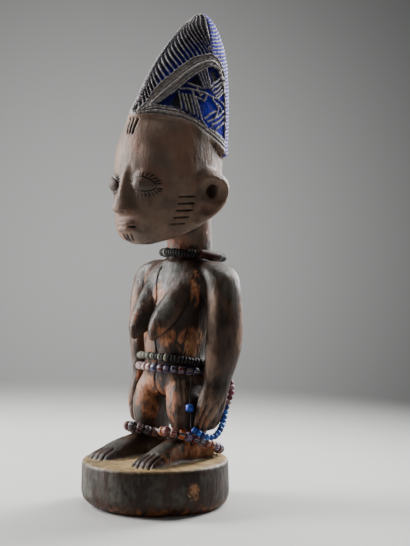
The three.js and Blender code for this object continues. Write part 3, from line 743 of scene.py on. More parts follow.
class Finish:
    """A finish: its material, and the patterns and layers that finishes are built from."""

    RELIEF_STRENGTH = 0.5

    def __init__(self, name: str) -> None:
        """Starts an empty material with its shader and output.

        Args:
            name: The material's name.
        """
        self.material = bpy.data.materials.new(name)
        self.material.use_nodes = True
        self.tree = self.material.node_tree
        self.tree.nodes.clear()
        self.node = partial(add_node, self.tree)
        self.scattered: dict[Grain, Socket] = {}
        self.shader = self.node("BsdfPrincipled")
        self.node("OutputMaterial", {"Surface": self.shader.outputs[0]})
        self.place = self.node("TexCoord").outputs["Object"]

    def patches(self, grain: Grain) -> Socket:
        """Scatters soft patches over the piece, once for each kind.

        Args:
            grain: Their size and kind.

        Returns:
            The share of the patches at a place, from 0 to 1.
        """
        if grain in self.scattered:
            return self.scattered[grain]
        scale = tuple(1 / (grain.size_mm * MM * s) for s in grain.stretch)
        spread = self.node("Mapping", {"Vector": self.place, "Scale": scale})
        links = {"Vector": spread.outputs[0], "Scale": 1.0, "Detail": grain.detail}
        noise = self.node("TexNoise", links)
        links = {"Value": noise.outputs["Fac"], "From Min": grain.begins, "From Max": grain.full}
        ramped = self.node("MapRange", links, interpolation_type="SMOOTHSTEP")
        self.scattered[grain] = ramped.outputs["Result"]
        return self.scattered[grain]

    def cover(self, under: Shade, over: Shade, share: Socket | float, most: float = 1.0) -> Socket:
        """Lays a colour over another.

        Args:
            under: The colour beneath.
            over: The colour on top.
            share: How much of it shows at a place.
            most: The most that it covers.

        Returns:
            The covered colour.
        """
        amount = self.node("Math", {0: share, 1: most}, operation="MULTIPLY").outputs[0]
        return self.node("Mix", {"Factor": amount, 6: under, 7: over}, data_type="RGBA").outputs[2]

    def roughen(self, pattern: Socket, depth_mm: float) -> None:
        """Raises the surface by a pattern, on top of the relief that it already has.

        Args:
            pattern: The pattern.
            depth_mm: How deep it is.
        """
        links = {"Height": pattern, "Distance": depth_mm * MM, "Strength": self.RELIEF_STRENGTH}
        if self.shader.inputs["Normal"].links:
            links["Normal"] = self.shader.inputs["Normal"].links[0].from_socket
        bump = self.node("Bump", links)
        self.tree.links.new(bump.outputs[0], self.shader.inputs["Normal"])


class HandledWood(Finish):
    """Close-grained hardwood, knife-carved and rubbed dark with oil, handling and dust.

    It gives a brown-black skin with a cool soft sheen, worn to a warm grey-brown on the head and the edges,
    with painted light on the arms' edges, a grey-green film of dust where hands don't reach, which is a
    painted sheen on the shoulder, arm, breasts and chest, orange-red powder in the hollows of the body,
    painted shade in the hollows and between the parts, sooty grime with painted shade in the cuts, dust with
    a painted highlight on the base's top edge, and blue pigment in the cuts of the hair.
    """

    SPECULAR = 0.28
    OILED_ROUGHNESS = (0.36, 0.56)
    WORN_ROUGHNESS = 0.6
    PAINT_ROUGHNESS = 0.85

    BROAD = Grain(14, 0.36, 0.64, 4)
    MOTTLE = Grain(4, 0.3, 0.66, 5)
    SMEAR = Grain(3, 0.26, 0.62, 6, (1, 1, 2.4))
    SCUFF = Grain(7, 0.22, 0.62, 6, (1, 1, 1.6))
    BLUSH = Grain(16, 0.46, 0.66, 3)
    # The wood's own flecks and pores are under half a millimetre wide, and are drawn twice as coarse to show.
    FLECK = Grain(0.9, 0.32, 0.64, 2)
    STREAK = Grain(0.9, 0.48, 0.72, 4, (1, 1, 12))
    # Crumbs of powder and dust are far finer, and are drawn as the small clots that they gather in.
    CRUMBS = Grain(1.8, 0.46, 0.7, 5, (1, 1, 2))
    DUST_CLOTS = Grain(4.2, 0.12, 0.4, 5)
    CHALK_CLOTS = Grain(1.6, 0.3, 0.62)
    GRIME = Grain(2.6, 0.5, 0.7, 4)
    BLADE_MARKS = Grain(7, 0.2, 0.8, 2, (1, 1, 2))
    # What raises the surface, and how deep it is in millimetres.
    RELIEF = ((BLADE_MARKS, 0.6), (SMEAR, 0.22), (FLECK, 0.08), (STREAK, 0.1))

    OIL = ("#170d07", "#2f1c11")
    PORES = "#5a4232"
    # The worn skin, which on the edges of the arms also stands for painted light.
    SKIN = ("#5f4f45", "#7b6454")
    SKIN_SHADE = "#4a3c33"
    SKIN_BLUSH = "#7e5442"
    RUBBED_EDGE = "#80614f"
    FILM = ("#33342f", "#504f47")
    POWDER = ("#62351e", "#8a5232")
    FRESH_POWDER = "#a4704c"
    # Dust, which on the base's top edge is also a painted highlight.
    DUST = ("#75603f", "#a38a62")
    # Painted shade, for the hollows and the parts of the body that the lamps leave dark.
    HOLLOW = "#0e0704"
    CHALK = ("#68636c", "#a39c96")
    # Sooty grime with painted shade, laid in the cuts.
    SOOT = "#080504"
    BLUE = ((0.0, "#040405"), (0.25, "#04062c"), (0.6, "#060a86"), (1.0, "#0a12cc"))
    GRIMY_BLUE = "#05061c"

    # A rubbed colour shows where its tint and its pattern together pass the first value, and is full at the
    # second. It keeps off where its tint is under a third.
    RUB = (0.8, 1.4)
    RUB_NEAR = 3.0

    def __init__(self) -> None:
        """Builds the material from the wood outward."""
        super().__init__("oiled_hardwood_dark_patina")
        self.shader.inputs["Specular IOR Level"].default_value = self.SPECULAR
        self.tints = {
            tint: self.node("Attribute", attribute_name=tint.value).outputs["Fac"] for tint in Tint
        }
        self.tree.links.new(self.paint(self.wood()), self.shader.inputs["Base Color"])
        self.tree.links.new(self.gloss(), self.shader.inputs["Roughness"])
        for grain, depth in self.RELIEF:
            self.roughen(self.patches(grain), depth)

    def wood(self) -> Socket:
        """Colours the oiled wood, its worn skin and what lies on it, with painted light, sheen and shade.

        Returns:
            The colour.
        """
        broad, mottle, scuff = map(self.patches, (self.BROAD, self.MOTTLE, self.SCUFF))
        tints, smear = self.tints, self.patches(self.SMEAR)
        colour = self.cover(self.cover(*self.OIL, broad), self.PORES, self.patches(self.STREAK), most=0.18)
        # The worn skin, which on the arms' edges is painted light.
        skin = self.cover(self.cover(*self.SKIN, broad), self.SKIN_SHADE, mottle, most=0.3)
        skin = self.cover(skin, self.SKIN_BLUSH, self.patches(self.BLUSH), most=0.45)
        colour = self.rub(colour, skin, scuff, Tint.WORN)
        proud = self.node("Math", {0: smear, 1: tints[Tint.PROUD]}, operation="MULTIPLY").outputs[0]
        colour = self.cover(colour, self.RUBBED_EDGE, proud, most=0.4)
        # The grey-green dust film, which is a painted sheen where it lies on the shoulder, arm, breasts and
        # chest.
        colour = self.rub(colour, self.cover(*self.FILM, mottle), scuff, Tint.PATINA, most=0.7)
        powder = self.cover(self.cover(*self.POWDER, mottle), self.FRESH_POWDER, self.patches(self.CRUMBS))
        colour = self.rub(colour, powder, smear, Tint.CAMWOOD, most=0.92)
        # Dust, with a painted highlight along the base's top edge.
        links = {0: self.patches(self.DUST_CLOTS), 1: tints[Tint.EARTH]}
        dusty = self.node("Math", links, operation="MULTIPLY").outputs[0]
        colour = self.cover(colour, self.cover(*self.DUST, mottle), dusty)
        # Painted shade over the hollows, between the parts and on the face.
        return self.cover(colour, self.HOLLOW, tints[Tint.HOLLOW], most=0.75)

    def paint(self, wood: Socket) -> Socket:
        """Lays the blue, the chalky rubbed lines, and the sooty grime with painted shade in the cuts, over
        the wood.

        Args:
            wood: The wood's colour.

        Returns:
            The painted colour.
        """
        colour = self.cover(wood, self.pigment(), self.tints[Tint.INDIGO])
        chalk = self.cover(*self.CHALK, self.patches(self.CHALK_CLOTS))
        colour = self.cover(colour, chalk, self.tints[Tint.CHALK])
        return self.cover(colour, self.SOOT, self.tints[Tint.SOOT])

    def gloss(self) -> Socket:
        """Makes the oiled wood glossier than the worn skin, and the paint duller than both.

        Returns:
            The roughness.
        """
        low, high = self.OILED_ROUGHNESS
        oiled = self.node("MapRange", {"Value": self.patches(self.SMEAR), "To Min": low, "To Max": high})
        links = {"Factor": self.tints[Tint.WORN], 2: oiled.outputs["Result"], 3: self.WORN_ROUGHNESS}
        dry = self.node("Mix", links).outputs[0]
        links = {"Factor": self.tints[Tint.INDIGO], 2: dry, 3: self.PAINT_ROUGHNESS}
        return self.node("Mix", links).outputs[0]

    def rub(
        self, under: Shade, over: Shade, pattern: Socket, tint: Tint, most: float = 1.0
    ) -> Socket:
        """Rubs a colour into another, so that it ends in a ragged edge where there is less of it.

        Args:
            under: The colour beneath.
            over: The colour on top.
            pattern: Where it holds best, from 0 to 1.
            tint: How much of it the surface has.
            most: The most that it covers.

        Returns:
            The covered colour.
        """
        begins, full = self.RUB
        both = self.node("Math", {0: self.tints[tint], 1: pattern}, operation="ADD").outputs[0]
        links = {"Value": both, "From Min": begins, "From Max": full, "To Max": most}
        edge = self.node("MapRange", links, interpolation_type="SMOOTHSTEP").outputs["Result"]
        links = {0: self.tints[tint], 1: self.RUB_NEAR}
        near = self.node("Math", links, operation="MULTIPLY", use_clamp=True).outputs[0]
        share = self.node("Math", {0: edge, 1: near}, operation="MULTIPLY").outputs[0]
        return self.cover(under, over, share)

    def pigment(self) -> Socket:
        """Mixes the blue: nearly black where it is old and grimy, and bright where it was renewed.

        Returns:
            The blue.
        """
        blue = self.node("ValToRGB", {0: self.tints[Tint.FRESH]})
        while len(blue.color_ramp.elements) < len(self.BLUE):
            blue.color_ramp.elements.new(1.0)
        for element, (at, shade) in zip(blue.color_ramp.elements, self.BLUE):
            element.position = at
            element.color = srgb(shade)
        return self.cover(blue.outputs[0], self.GRIMY_BLUE, self.patches(self.GRIME), most=0.7)


class Glass(Enum):
    """The sorts of glass bead on the strings."""

    DARK = "dark"
    STRIPED = "striped"
    BLUE = "blue"


class BeadGlass(Finish):
    """Opaque wound and drawn trade glass, worn to a soft gloss, with stripes drawn along each bead.

    Each bead keeps its own ground and stripe colours as attributes, and its map runs once round it.
    """

    IOR = 1.52
    SPECULAR = 0.32
    ROUGHNESS = {Glass.DARK: 0.7, Glass.STRIPED: 0.42, Glass.BLUE: 0.42}
    DIRT = "#120c0a"
    WHITE = "#9a8c85"
    STRIPES = 4
    # Half the width of the white stripe and of the coloured one on it, as shares of the way round.
    WHITE_HALF = 0.052
    STRIPE_HALF = 0.03
    # The pits and the dirt in them are finer on the real beads, and are drawn about twice as coarse to show.
    DIRT_CLOTS = Grain(1.1, 0.42, 0.7)
    PITS = Grain(0.8, 0.3, 0.7)
    PIT_DEPTH = 0.06

    def __init__(self, sort: Glass) -> None:
        """Builds the material.

        Args:
            sort: The sort of glass.
        """
        super().__init__(f"opaque_{sort.value}_bead_glass")
        colour = self.node("Attribute", attribute_name="ground").outputs["Color"]
        if sort is Glass.STRIPED:
            colour = self.striped(colour)
        colour = self.cover(colour, self.DIRT, self.patches(self.DIRT_CLOTS), most=0.6)
        self.tree.links.new(colour, self.shader.inputs["Base Color"])
        self.shader.inputs["Roughness"].default_value = self.ROUGHNESS[sort]
        self.shader.inputs["IOR"].default_value = self.IOR
        self.shader.inputs["Specular IOR Level"].default_value = self.SPECULAR
        self.roughen(self.patches(self.PITS), self.PIT_DEPTH)

    def striped(self, ground: Socket) -> Socket:
        """Draws the stripes along a bead, each a coloured one in the middle of a white one.

        Args:
            ground: The bead's ground colour.

        Returns:
            The striped colour.
        """
        across = self.node("SeparateXYZ", {0: self.node("UVMap").outputs[0]}).outputs[0]
        links = {0: across, 1: 0.5 / self.STRIPES}
        fold = self.node("Math", links, operation="PINGPONG").outputs[0]
        white, middle = (
            self.node("Math", {0: fold, 1: half}, operation="LESS_THAN").outputs[0]
            for half in (self.WHITE_HALF, self.STRIPE_HALF)
        )
        stripe = self.node("Attribute", attribute_name="stripe").outputs["Color"]
        return self.cover(self.cover(ground, self.WHITE, white), stripe, middle)


def inside(across: Array, up: Array, corners: Line) -> Array:
    """Tells which places lie inside a closed outline.

    Args:
        across: Where the places are across.
        up: Where they are up.
        corners: The outline's corners, each as (up, across).

    Returns:
        True for each place inside.
    """
    found = np.zeros(len(across), bool)
    for (from_up, from_across), (to_up, to_across) in zip(corners, corners[1:] + corners[:1]):
        if from_up == to_up:
            continue
        crossed = (up > min(from_up, to_up)) & (up <= max(from_up, to_up))
        share = (up - from_up) / (to_up - from_up)
        found ^= crossed & (across < from_across + share * (to_across - from_across))
    return found


def level_at(line: Line, turn: Array) -> Array:
    """Reads the heights of a line on the hair at some turns round it."""
    heights, turns = np.array(line).T
    return np.interp(turn, turns, heights)


def between(one: Array, other: Array) -> Array:
    """Tells how far places are on the way from one line to another, by their distances from both."""
    return one / np.maximum(one + other, LEAST_WIDTH)


@dataclass(frozen=True)
class BorderLine:
    """A line along a border: its place and width as shares of the border's, and how pale and high it is."""

    place: float
    width: float
    pale: float
    high: float


ARCH_LINES = (
    BorderLine(0.03, 0.06, 0.95, 1.0),
    BorderLine(0.2, 0.05, 0.66, 0.5),
    BorderLine(0.36, 0.05, 0.7, 0.5),
    BorderLine(0.58, 0.09, 0.95, 0.9),
    BorderLine(0.8, 0.05, 0.8, 0.7),
    BorderLine(0.97, 0.05, 0.95, 0.8),
)
HEM_LINES = (
    BorderLine(0.02, 0.06, 0.85, 0.9),
    BorderLine(0.22, 0.06, 0.75, 0.8),
    BorderLine(0.45, 0.08, 0.7, 0.8),
)


class Looks:
    """The relief and the tints of the hair at some places on it, built up bit by bit."""

    # A border's ground is a little pale, and its lines stand out of it with soft edges, as shares of their
    # width. Beyond its lines the border ends in plain raised skin.
    GROUND_PALE = 0.52
    GROUND_LEVEL = 0.3
    LINE_EDGES = (1.5, 0.6)
    SKIN_LEVEL = 0.35
    SKIN_FADE = 0.12
    # Sooty grime with painted shade darkens the low ground between the lines.
    SOOT_BETWEEN = 0.22

    def __init__(self, places: Array) -> None:
        """Starts with none.

        Args:
            places: The places, folded to the figure's left, by their heights above the soles.
        """
        self.places = places
        self.height = places[:, 2]
        self.turn = np.degrees(HAIR.turn_of(places))
        self.lift = np.zeros(len(places))
        kinds = (Tint.CHALK, Tint.INDIGO, Tint.FRESH, Tint.SOOT)
        self.tints = {tint: np.zeros(len(places)) for tint in kinds}

    def add(self, tint: Tint, values: Array) -> None:
        """Adds to one tint."""
        self.tints[tint] = np.clip(self.tints[tint] + values, 0, 1)

    def border(
        self, where: Array, share: Array, lines: tuple[BorderLine, ...], carved: float = 1.0
    ) -> None:
        """Cuts a border of lines.

        Args:
            where: Where the border is.
            share: How far across it each place is, from 0 to 1.
            lines: Its lines.
            carved: How much of its width the lines take, before plain raised skin.
        """
        pale, high = np.full(len(share), self.GROUND_PALE), np.zeros(len(share))
        for line in lines:
            edges = (line.width * edge for edge in self.LINE_EDGES)
            near = ramp(np.abs(share - line.place), *edges)
            pale, high = np.maximum(pale, near * line.pale), np.maximum(high, near * line.high)
        cut = ramp(share, carved + self.SKIN_FADE, carved) if carved < 1 else np.ones(len(share))
        relief = (high - self.GROUND_LEVEL) * BORDER_RELIEF
        self.lift += where * (relief * cut + self.SKIN_LEVEL * (1 - cut))
        self.add(Tint.CHALK, where * pale * cut)
        self.add(Tint.SOOT, where * ramp(high, self.GROUND_LEVEL, 0) * cut * self.SOOT_BETWEEN)


@dataclass
class Coiffure:
    """The tall hair: a plaited crest, an arched border, a sunk painted panel, a hem and a ribbed back.

    Its lines are drawn by height and turn in degrees on the figure's left, and its right mirrors them. Turn
    -90 is the front. The crest and the feet of its plaits are drawn by the share of the plaits, from the
    first at the front to the last, with their turns and heights.
    """

    crest: tuple[Place, ...] = (
        (0, -90, 195), (0.114, -90, 205), (0.205, -90, 211), (0.295, -90, 216.3), (0.386, -90, 221.3),
        (0.477, -90, 227.5), (0.568, -90, 233.4), (0.659, -90, 239), (0.75, -90, 244.5),
        (0.841, -88, 248.5), (0.886, -80, 249.6), (0.932, -60, 250.6), (0.977, -28, 251.6), (1, 0, 252),
    )
    plait_ends: tuple[Place, ...] = (
        (0, -88, 193.6), (0.114, -77, 199.2), (0.205, -74.2, 203.6), (0.295, -70.4, 207.9),
        (0.386, -64.8, 212.1), (0.477, -57, 216.2), (0.568, -49.8, 220.3), (0.659, -42.6, 223.6),
        (0.75, -34.6, 226.6), (0.841, -23.1, 227.9), (0.932, -9, 229), (1, -4, 229),
    )
    arch_rear: Line = (
        (228, 0), (226.5, 4), (223.3, 10), (219.4, 15.6), (214.5, 18.8), (209, 19.8), (203.2, 20.8),
        (198.1, 22.4), (190, 24.6), (182, 26.2), (172.6, 28.4),
    )
    arch_inside: Line = (
        (199.2, -62), (200.5, -59), (204, -52.1), (207.5, -44.9), (213, -35.8), (216.3, -28.6),
        (218.8, -21.1), (221.2, -11.8), (221.8, -2), (220, 3.4), (215.7, 7.6), (210.8, 12.5), (205, 16.4),
        (199.3, 18.9), (193, 21.2), (187, 23), (180.3, 24.8),
    )
    panel_foot: Line = (
        (199.2, -62), (198.1, -45.4), (197, -35.1), (194.4, -24.1), (190.6, -11.2), (187.3, 1.1),
        (184, 8.9), (180.3, 24.8),
    )
    hem_top: Line = ((194.6, -90), (199.2, -62), (198, -45), (180, 25))
    hairline: Line = (
        (193.2, -90), (192.5, -71.2), (191.5, -56.2), (190.4, -44.4), (188.8, -32.6), (186.1, -19.4),
        (182.4, -4.2), (178.1, 7.5), (172.6, 26), (171.6, 34), (171.6, 90),
    )
    front_stops: int = 9
    rear_edge: Line = (
        (171, 28.6), (182, 26.2), (190, 24.6), (198.1, 22.4), (209, 19.8), (214.5, 18.8), (219.4, 15.6),
        (223.3, 10), (226.5, 4), (229, -3), (233.5, -4), (238.4, 0), (260, 1),
    )
    strokes: tuple[Line, ...] = (
        ((206.8, -42.6), (197, -35.1)), ((205.6, -38.4), (196.4, -30)), ((205.3, -34.8), (195.3, -25.8)),
        ((205.1, -30.6), (194.2, -21.5)), ((205.1, -27.4), (193.1, -17.2)), ((204, -24.6), (191.2, -12.1)),
        ((208.5, -41.9), (208.6, -33.9), (206.8, -17.2), (203.5, 3.4), (199.3, 19.8)),
        ((211.6, -34.8), (209, -17.6)), ((218.4, -25.6), (209, -15)), ((219.3, -22.4), (209.1, -12.2)),
        ((220.2, -19), (209.2, -9.1)), ((221, -15.4), (209.8, -6)), ((209.2, -7.5), (215.1, 6.9)),
        ((208.1, -3.5), (213.4, 10.2)), ((206.6, 0.2), (211.6, 11.4)), ((204.7, 1.5), (209.2, 12.6)),
        ((203.5, 3.4), (208.1, 15.2)), ((191.8, -9), (196.3, 3.6)), ((190.1, -3.1), (196.6, 16.8)),
        ((188.5, 1.6), (193.7, 19.1)), ((186.3, 6.6), (190.8, 21.8)), ((207.5, -28.6), (203.4, -25.1)),
        ((203.9, -23.6), (201.9, -13.2), (205.4, -11.4)), ((208.8, -23.8), (204.7, -19.2), (206.6, -14.5)),
        ((204.3, -2), (197.6, 6.5), (192.4, 3.6)), ((200.6, 4.6), (196.2, 14.6)),
    )
    dark_fields: tuple[Line, ...] = (
        ((199.5, -47), (207.3, -43.5), (204.5, -38), (196.8, -35)),
        ((210.8, -33.8), (217, -26.1), (210, -18.5)), ((219, -8), (219, 0), (213.5, 4), (213, -3)),
        ((205.6, -38.4), (196.4, -30), (194.2, -21.5), (205.1, -30.6)),
    )

    # Where the hair is looked for.
    lowest: float = 168
    foremost: float = -24
    blank_edge: float = 0.6
    blank_sunk: float = 3.2
    hem_carved: float = 0.62

    # How finely places are looked up among the plaits, and how many more plaits crowd in at the back.
    plait_grid: tuple[int, int] = (460, 60)
    end_plaits: int = 2

    rib_pitch: float = 2.1

    def towards_crest(self, share: Array, reach: Array) -> Array:
        """Finds places between the ends of the plaits and the crest, on the hair's form.

        Args:
            share: The share of the plaits.
            reach: How far up towards the crest, from 0 to 1.

        Returns:
            The places.
        """
        foot, top = np.array(self.plait_ends), np.array(self.crest)
        foot_turn, foot_height = (along(foot[:, 0], foot[:, k], share) for k in (1, 2))
        top_turn, top_height = (along(top[:, 0], top[:, k], share) for k in (1, 2))
        # The plaits curve more towards the back.
        bend = 1.1 + 0.35 * share * share
        turn = foot_turn + (top_turn - foot_turn) * reach**bend
        return HAIR.outline(foot_height + (top_height - foot_height) * reach, np.radians(turn))

    @property
    def arch_outside(self) -> Line:
        """The outer edge of the arched border, over the panel from the front to the nape."""
        return tuple((height, turn) for _, turn, height in self.plait_ends) + self.arch_rear

    def edge_height(self, angle: Array) -> Array:
        """The height of the hairline at an angle round the head, the same on both sides."""
        turn = np.degrees(np.arctan2(np.sin(angle), np.abs(np.cos(angle))))
        return level_at(self.hairline, turn)

    def blank_lift(self, height: Array, angle: Array) -> Array:
        """How far off its form the hair's blank lies: on it above the hairline, inside the head below."""
        return np.where(height > self.edge_height(angle) - self.blank_edge, 0.0, -self.blank_sunk)

    def carve(self, surface: Surface) -> None:
        """Cuts and paints the hair.

        Args:
            surface: Its surface.
        """
        folded = surface.points - FROM_SOLES
        folded[:, 0] = np.abs(folded[:, 0])
        near_hair = np.nonzero((folded[:, 2] > self.lowest) & (folded[:, 1] > self.foremost))[0]
        looks = Looks(folded[near_hair])
        height, turn = looks.height, looks.turn
        on_hair = ramp(height - self.edge_height(np.radians(turn)), -1.4, -0.2)
        rear_heights, rear_turns = np.array(self.rear_edge).T
        on_panel = inside(turn, height, self.arch_inside + self.panel_foot[::-1])
        behind = (turn > np.interp(height, rear_heights, rear_turns)) & ~on_panel
        on_hem = (height < level_at(self.hem_top, turn)) & ~on_panel & ~behind
        on_arch = inside(turn, height, self.arch_outside + self.arch_inside[::-1])
        on_arch &= ~(on_panel | behind | on_hem)
        self.plaits(looks, ~(on_panel | on_arch | on_hem | behind))
        outside, within, foot, hairline = (
            self.distance(looks.places, line)
            for line in (
                self.arch_outside, self.arch_inside, self.hem_top[:1] + self.panel_foot,
                self.hairline[: self.front_stops],
            )
        )
        looks.border(on_arch, between(outside, within), ARCH_LINES)
        looks.border(on_hem, between(foot, hairline), HEM_LINES, self.hem_carved)
        self.panel(looks, on_panel)
        self.ribs(looks, behind)
        surface.points[near_hair] += surface.normals[near_hair] * (looks.lift * on_hair)[:, None]
        for tint, values in looks.tints.items():
            surface.tints[tint][near_hair] = np.clip(values * on_hair, 0, 1)

    def distance(self, places: Array, line: Line) -> Array:
        """How far places are from a line on the hair, in millimetres."""
        return distance_to(places, HAIR.trace(line, 4) - FROM_SOLES)[0]

    def plaits(self, looks: Looks, where: Array) -> None:
        """Cuts the crest's plaits: thin pale ridges with wide blue-black grooves between them.

        Args:
            looks: The hair's looks.
            where: Where the crest is.
        """
        share, reach = self.plait_places(looks.places)
        count = PLAITS * share + self.end_plaits * ramp(share, 0.84, 1.02)
        wave = 0.5 - 0.5 * np.cos(2 * np.pi * count)
        looks.lift += where * (ramp(wave, 0.5, 0.95) - 0.5) * PLAIT_RELIEF
        # Chalk is fainter in front and rubbed off the rear crest. The blue is freshest at the plaits' feet.
        bare = ramp(reach, 0.66, 0.92) * ramp(share, 0.95, 0.6)
        ridge = ramp(wave, 0.8, 0.98) * 0.9 * (1 - bare)
        faint = 0.7 + 0.3 * ramp(share, 0.2, 0.6)
        looks.add(Tint.CHALK, where * ridge * faint)
        looks.add(Tint.INDIGO, where * (1 - ridge))
        fresh = ramp(reach, 0.75, 0) * ramp(share, 0.05, 0.5)
        looks.add(Tint.FRESH, where * (0.08 + 0.42 * fresh))

    def plait_places(self, places: Array) -> tuple[Array, Array]:
        """Finds where on the crest some places are.

        Args:
            places: The places.

        Returns:
            Each one's share of the plaits, from the front to the back, and its reach towards the crest.
        """
        shares, reaches = (np.linspace(0, 1, count) for count in self.plait_grid)
        share, reach = np.meshgrid(shares, reaches, indexing="ij")
        points = self.towards_crest(share.ravel(), reach.ravel())
        tree = kdtree.KDTree(len(points))
        for number, point in enumerate(points):
            tree.insert(point, number)
        tree.balance()
        nearest = [tree.find(place)[1] for place in places]
        return share.ravel()[nearest], reach.ravel()[nearest]

    def panel(self, looks: Looks, where: Array) -> None:
        """Sinks the side panel, paints it blue and leaves its straight strokes standing, pale.

        Args:
            looks: The hair's looks.
            where: Where the panel is.
        """
        looks.lift -= where * PANEL_DEPTH
        stroke = np.zeros(len(looks.places))
        for stops in self.strokes:
            near = ramp(self.distance(looks.places, stops), 0.68, 0.2)
            stroke = np.maximum(stroke, near * where)
        looks.lift += stroke * PANEL_DEPTH
        looks.add(Tint.CHALK, stroke)
        looks.add(Tint.INDIGO, where * (1 - stroke))
        # The blue was renewed behind the panel's middle, low down. In the dark fields it is old and grimy.
        renewed = ramp(looks.turn, -24, -6) * ramp(looks.height, 214, 203)
        fresh = 0.38 + 0.4 * renewed
        for corners in self.dark_fields:
            fresh = np.where(inside(looks.turn, looks.height, corners), 0.04, fresh)
        looks.add(Tint.FRESH, where * fresh)

    def ribs(self, looks: Looks, where: Array) -> None:
        """Cuts the back into narrow, nearly level ribs, rubbed pale, with blue left between them.

        Args:
            looks: The hair's looks.
            where: Where the back is.
        """
        climb = looks.height - 0.05 * (looks.turn - 20)
        wave = 0.5 + 0.5 * np.cos(2 * np.pi * climb / self.rib_pitch)
        ridge = ramp(wave, 0.5, 0.92)
        looks.lift += where * (ridge - 0.5) * 0.3
        looks.add(Tint.CHALK, where * ridge * 0.44)
        looks.add(Tint.INDIGO, where * (1 - ridge))
        looks.add(Tint.FRESH, where * 0.75)


@dataclass(frozen=True)
class Region:
    """A box of the figure: how far across on either side, how deep and how high its places are."""

    across: Span
    depth: Span
    height: Span
    both_sides: bool = True

    def holds(self, places: Array) -> Array:
        """Tells which places are inside.

        Args:
            places: The places, by their heights above the soles.

        Returns:
            True for each place inside.
        """
        x, y, height = places.T
        spans = ((np.abs(x) if self.both_sides else x, self.across), (y, self.depth), (height, self.height))
        return np.all([(low < value) & (value < high) for value, (low, high) in spans], axis=0)


AS_DRAWN = (Side.LEFT,)
BODY_DABS = {
    Tint.CAMWOOD: (
        Dab((0, 3, 95), (7, 9, 9), 1.0), Dab((20, 12, 99), (2.8, 5, 15), 0.9),
        Dab((10, -7, 76), (7, 6, 5), 0.5), Dab((-9, -8, 80), (5, 8, 14), 0.3, AS_DRAWN),
        Dab((18, 12, 68), (9, 13, 11), 0.95), Dab((8, 2, 71), (9, 8, 8), 0.75),
        Dab((-4.6, 2, 42), (7, 7, 10), 0.85, AS_DRAWN), Dab((4, 2, 42), (5, 7, 9), 0.6, AS_DRAWN),
        Dab((-8.4, 4, 29), (5, 8, 12), 0.75, AS_DRAWN), Dab((-25, 13, 46), (5, 6, 12), 0.6),
        Dab((14, 0, 30), (4, 5, 14), 0.5, AS_DRAWN), Dab((20, 6, 15), (5, 8, 7), 0.8),
        Dab((29.6, 8, 27), (4, 6, 9), 0.7), Dab((26, 27, 30), (7, 8, 16), 0.5),
        Dab((26, 7, 5.6), (12, 34, 11), 1.0), Dab((18, 25, 6), (11, 11, 11), 1.0),
        Dab((-5, 1, 60), (13, 8, 8), 0.5, AS_DRAWN), Dab((12, 0, 40), (8, 7, 15), 0.55),
        Dab((0, 22, 121), (18, 16, 11), 0.42),
    ),
    # Painted shade under the breasts, between the arms and the body, down the outer front of the arm and on
    # the face.
    Tint.HOLLOW: (
        Dab((19, 10, 84), (6, 12, 16), 0.75), Dab((17, 24, 62), (7, 12, 14), 0.8),
        Dab((37, 16, 70), (4.5, 7, 40), 0.6), Dab((11, -21, 152), (18, 17, 21), 0.42),
    ),
    Tint.EARTH: (
        Dab((21, 24, 4.5), (8, 9, 5), 0.6),
    ),
    # A grey-green dust film, and a painted sheen on the shoulder, the upper arm, the breasts and the chest.
    Tint.PATINA: (
        Dab((29, 20, 108), (12, 12, 8), 0.95), Dab((38, 22, 94), (5, 9, 16), 0.7),
        Dab((12, -4, 89), (7, 9, 13), 0.8), Dab((0, 9, 108), (16, 9, 8), 0.85),
        Dab((-12, -2, 94), (8, 9, 16), 0.75, AS_DRAWN), Dab((-14.9, 0, 27), (6, 6, 15), 0.75, AS_DRAWN),
        Dab((19, -10, 9.4), (9, 16, 6), 0.95), Dab((-14, -36, 2), (24, 16, 4), 0.85, AS_DRAWN),
        Dab((-28, -22, 2), (12, 16, 4), 0.7, AS_DRAWN), Dab((10, -41, -9), (12, 8, 9), 0.6, AS_DRAWN),
        Dab((-14, -39, -10), (14, 8, 10), 0.75, AS_DRAWN), Dab((38, -16, -10), (9, 9, 10), 0.55),
    ),
    # Wear on the belly and the thighs; down the edges of the arms it is painted light.
    Tint.WORN: (
        Dab((-6, 1, 64), (9, 7, 9), 0.9, AS_DRAWN), Dab((5, 0, 62), (5, 6, 7), 0.6, AS_DRAWN),
        Dab((11, 1, 43), (5, 6, 16), 0.8), Dab((-12, 0, 42), (8, 6, 16), 0.8, AS_DRAWN),
        Dab((32, 11, 72), (6, 8, 40), 0.72), Dab((40, 31, 78), (5.5, 9, 38), 0.8),
        Dab((30.5, 12, 32), (6, 9, 17), 0.66), Dab((-31, 14, 80), (5, 8, 26), 0.6, AS_DRAWN),
    ),
}


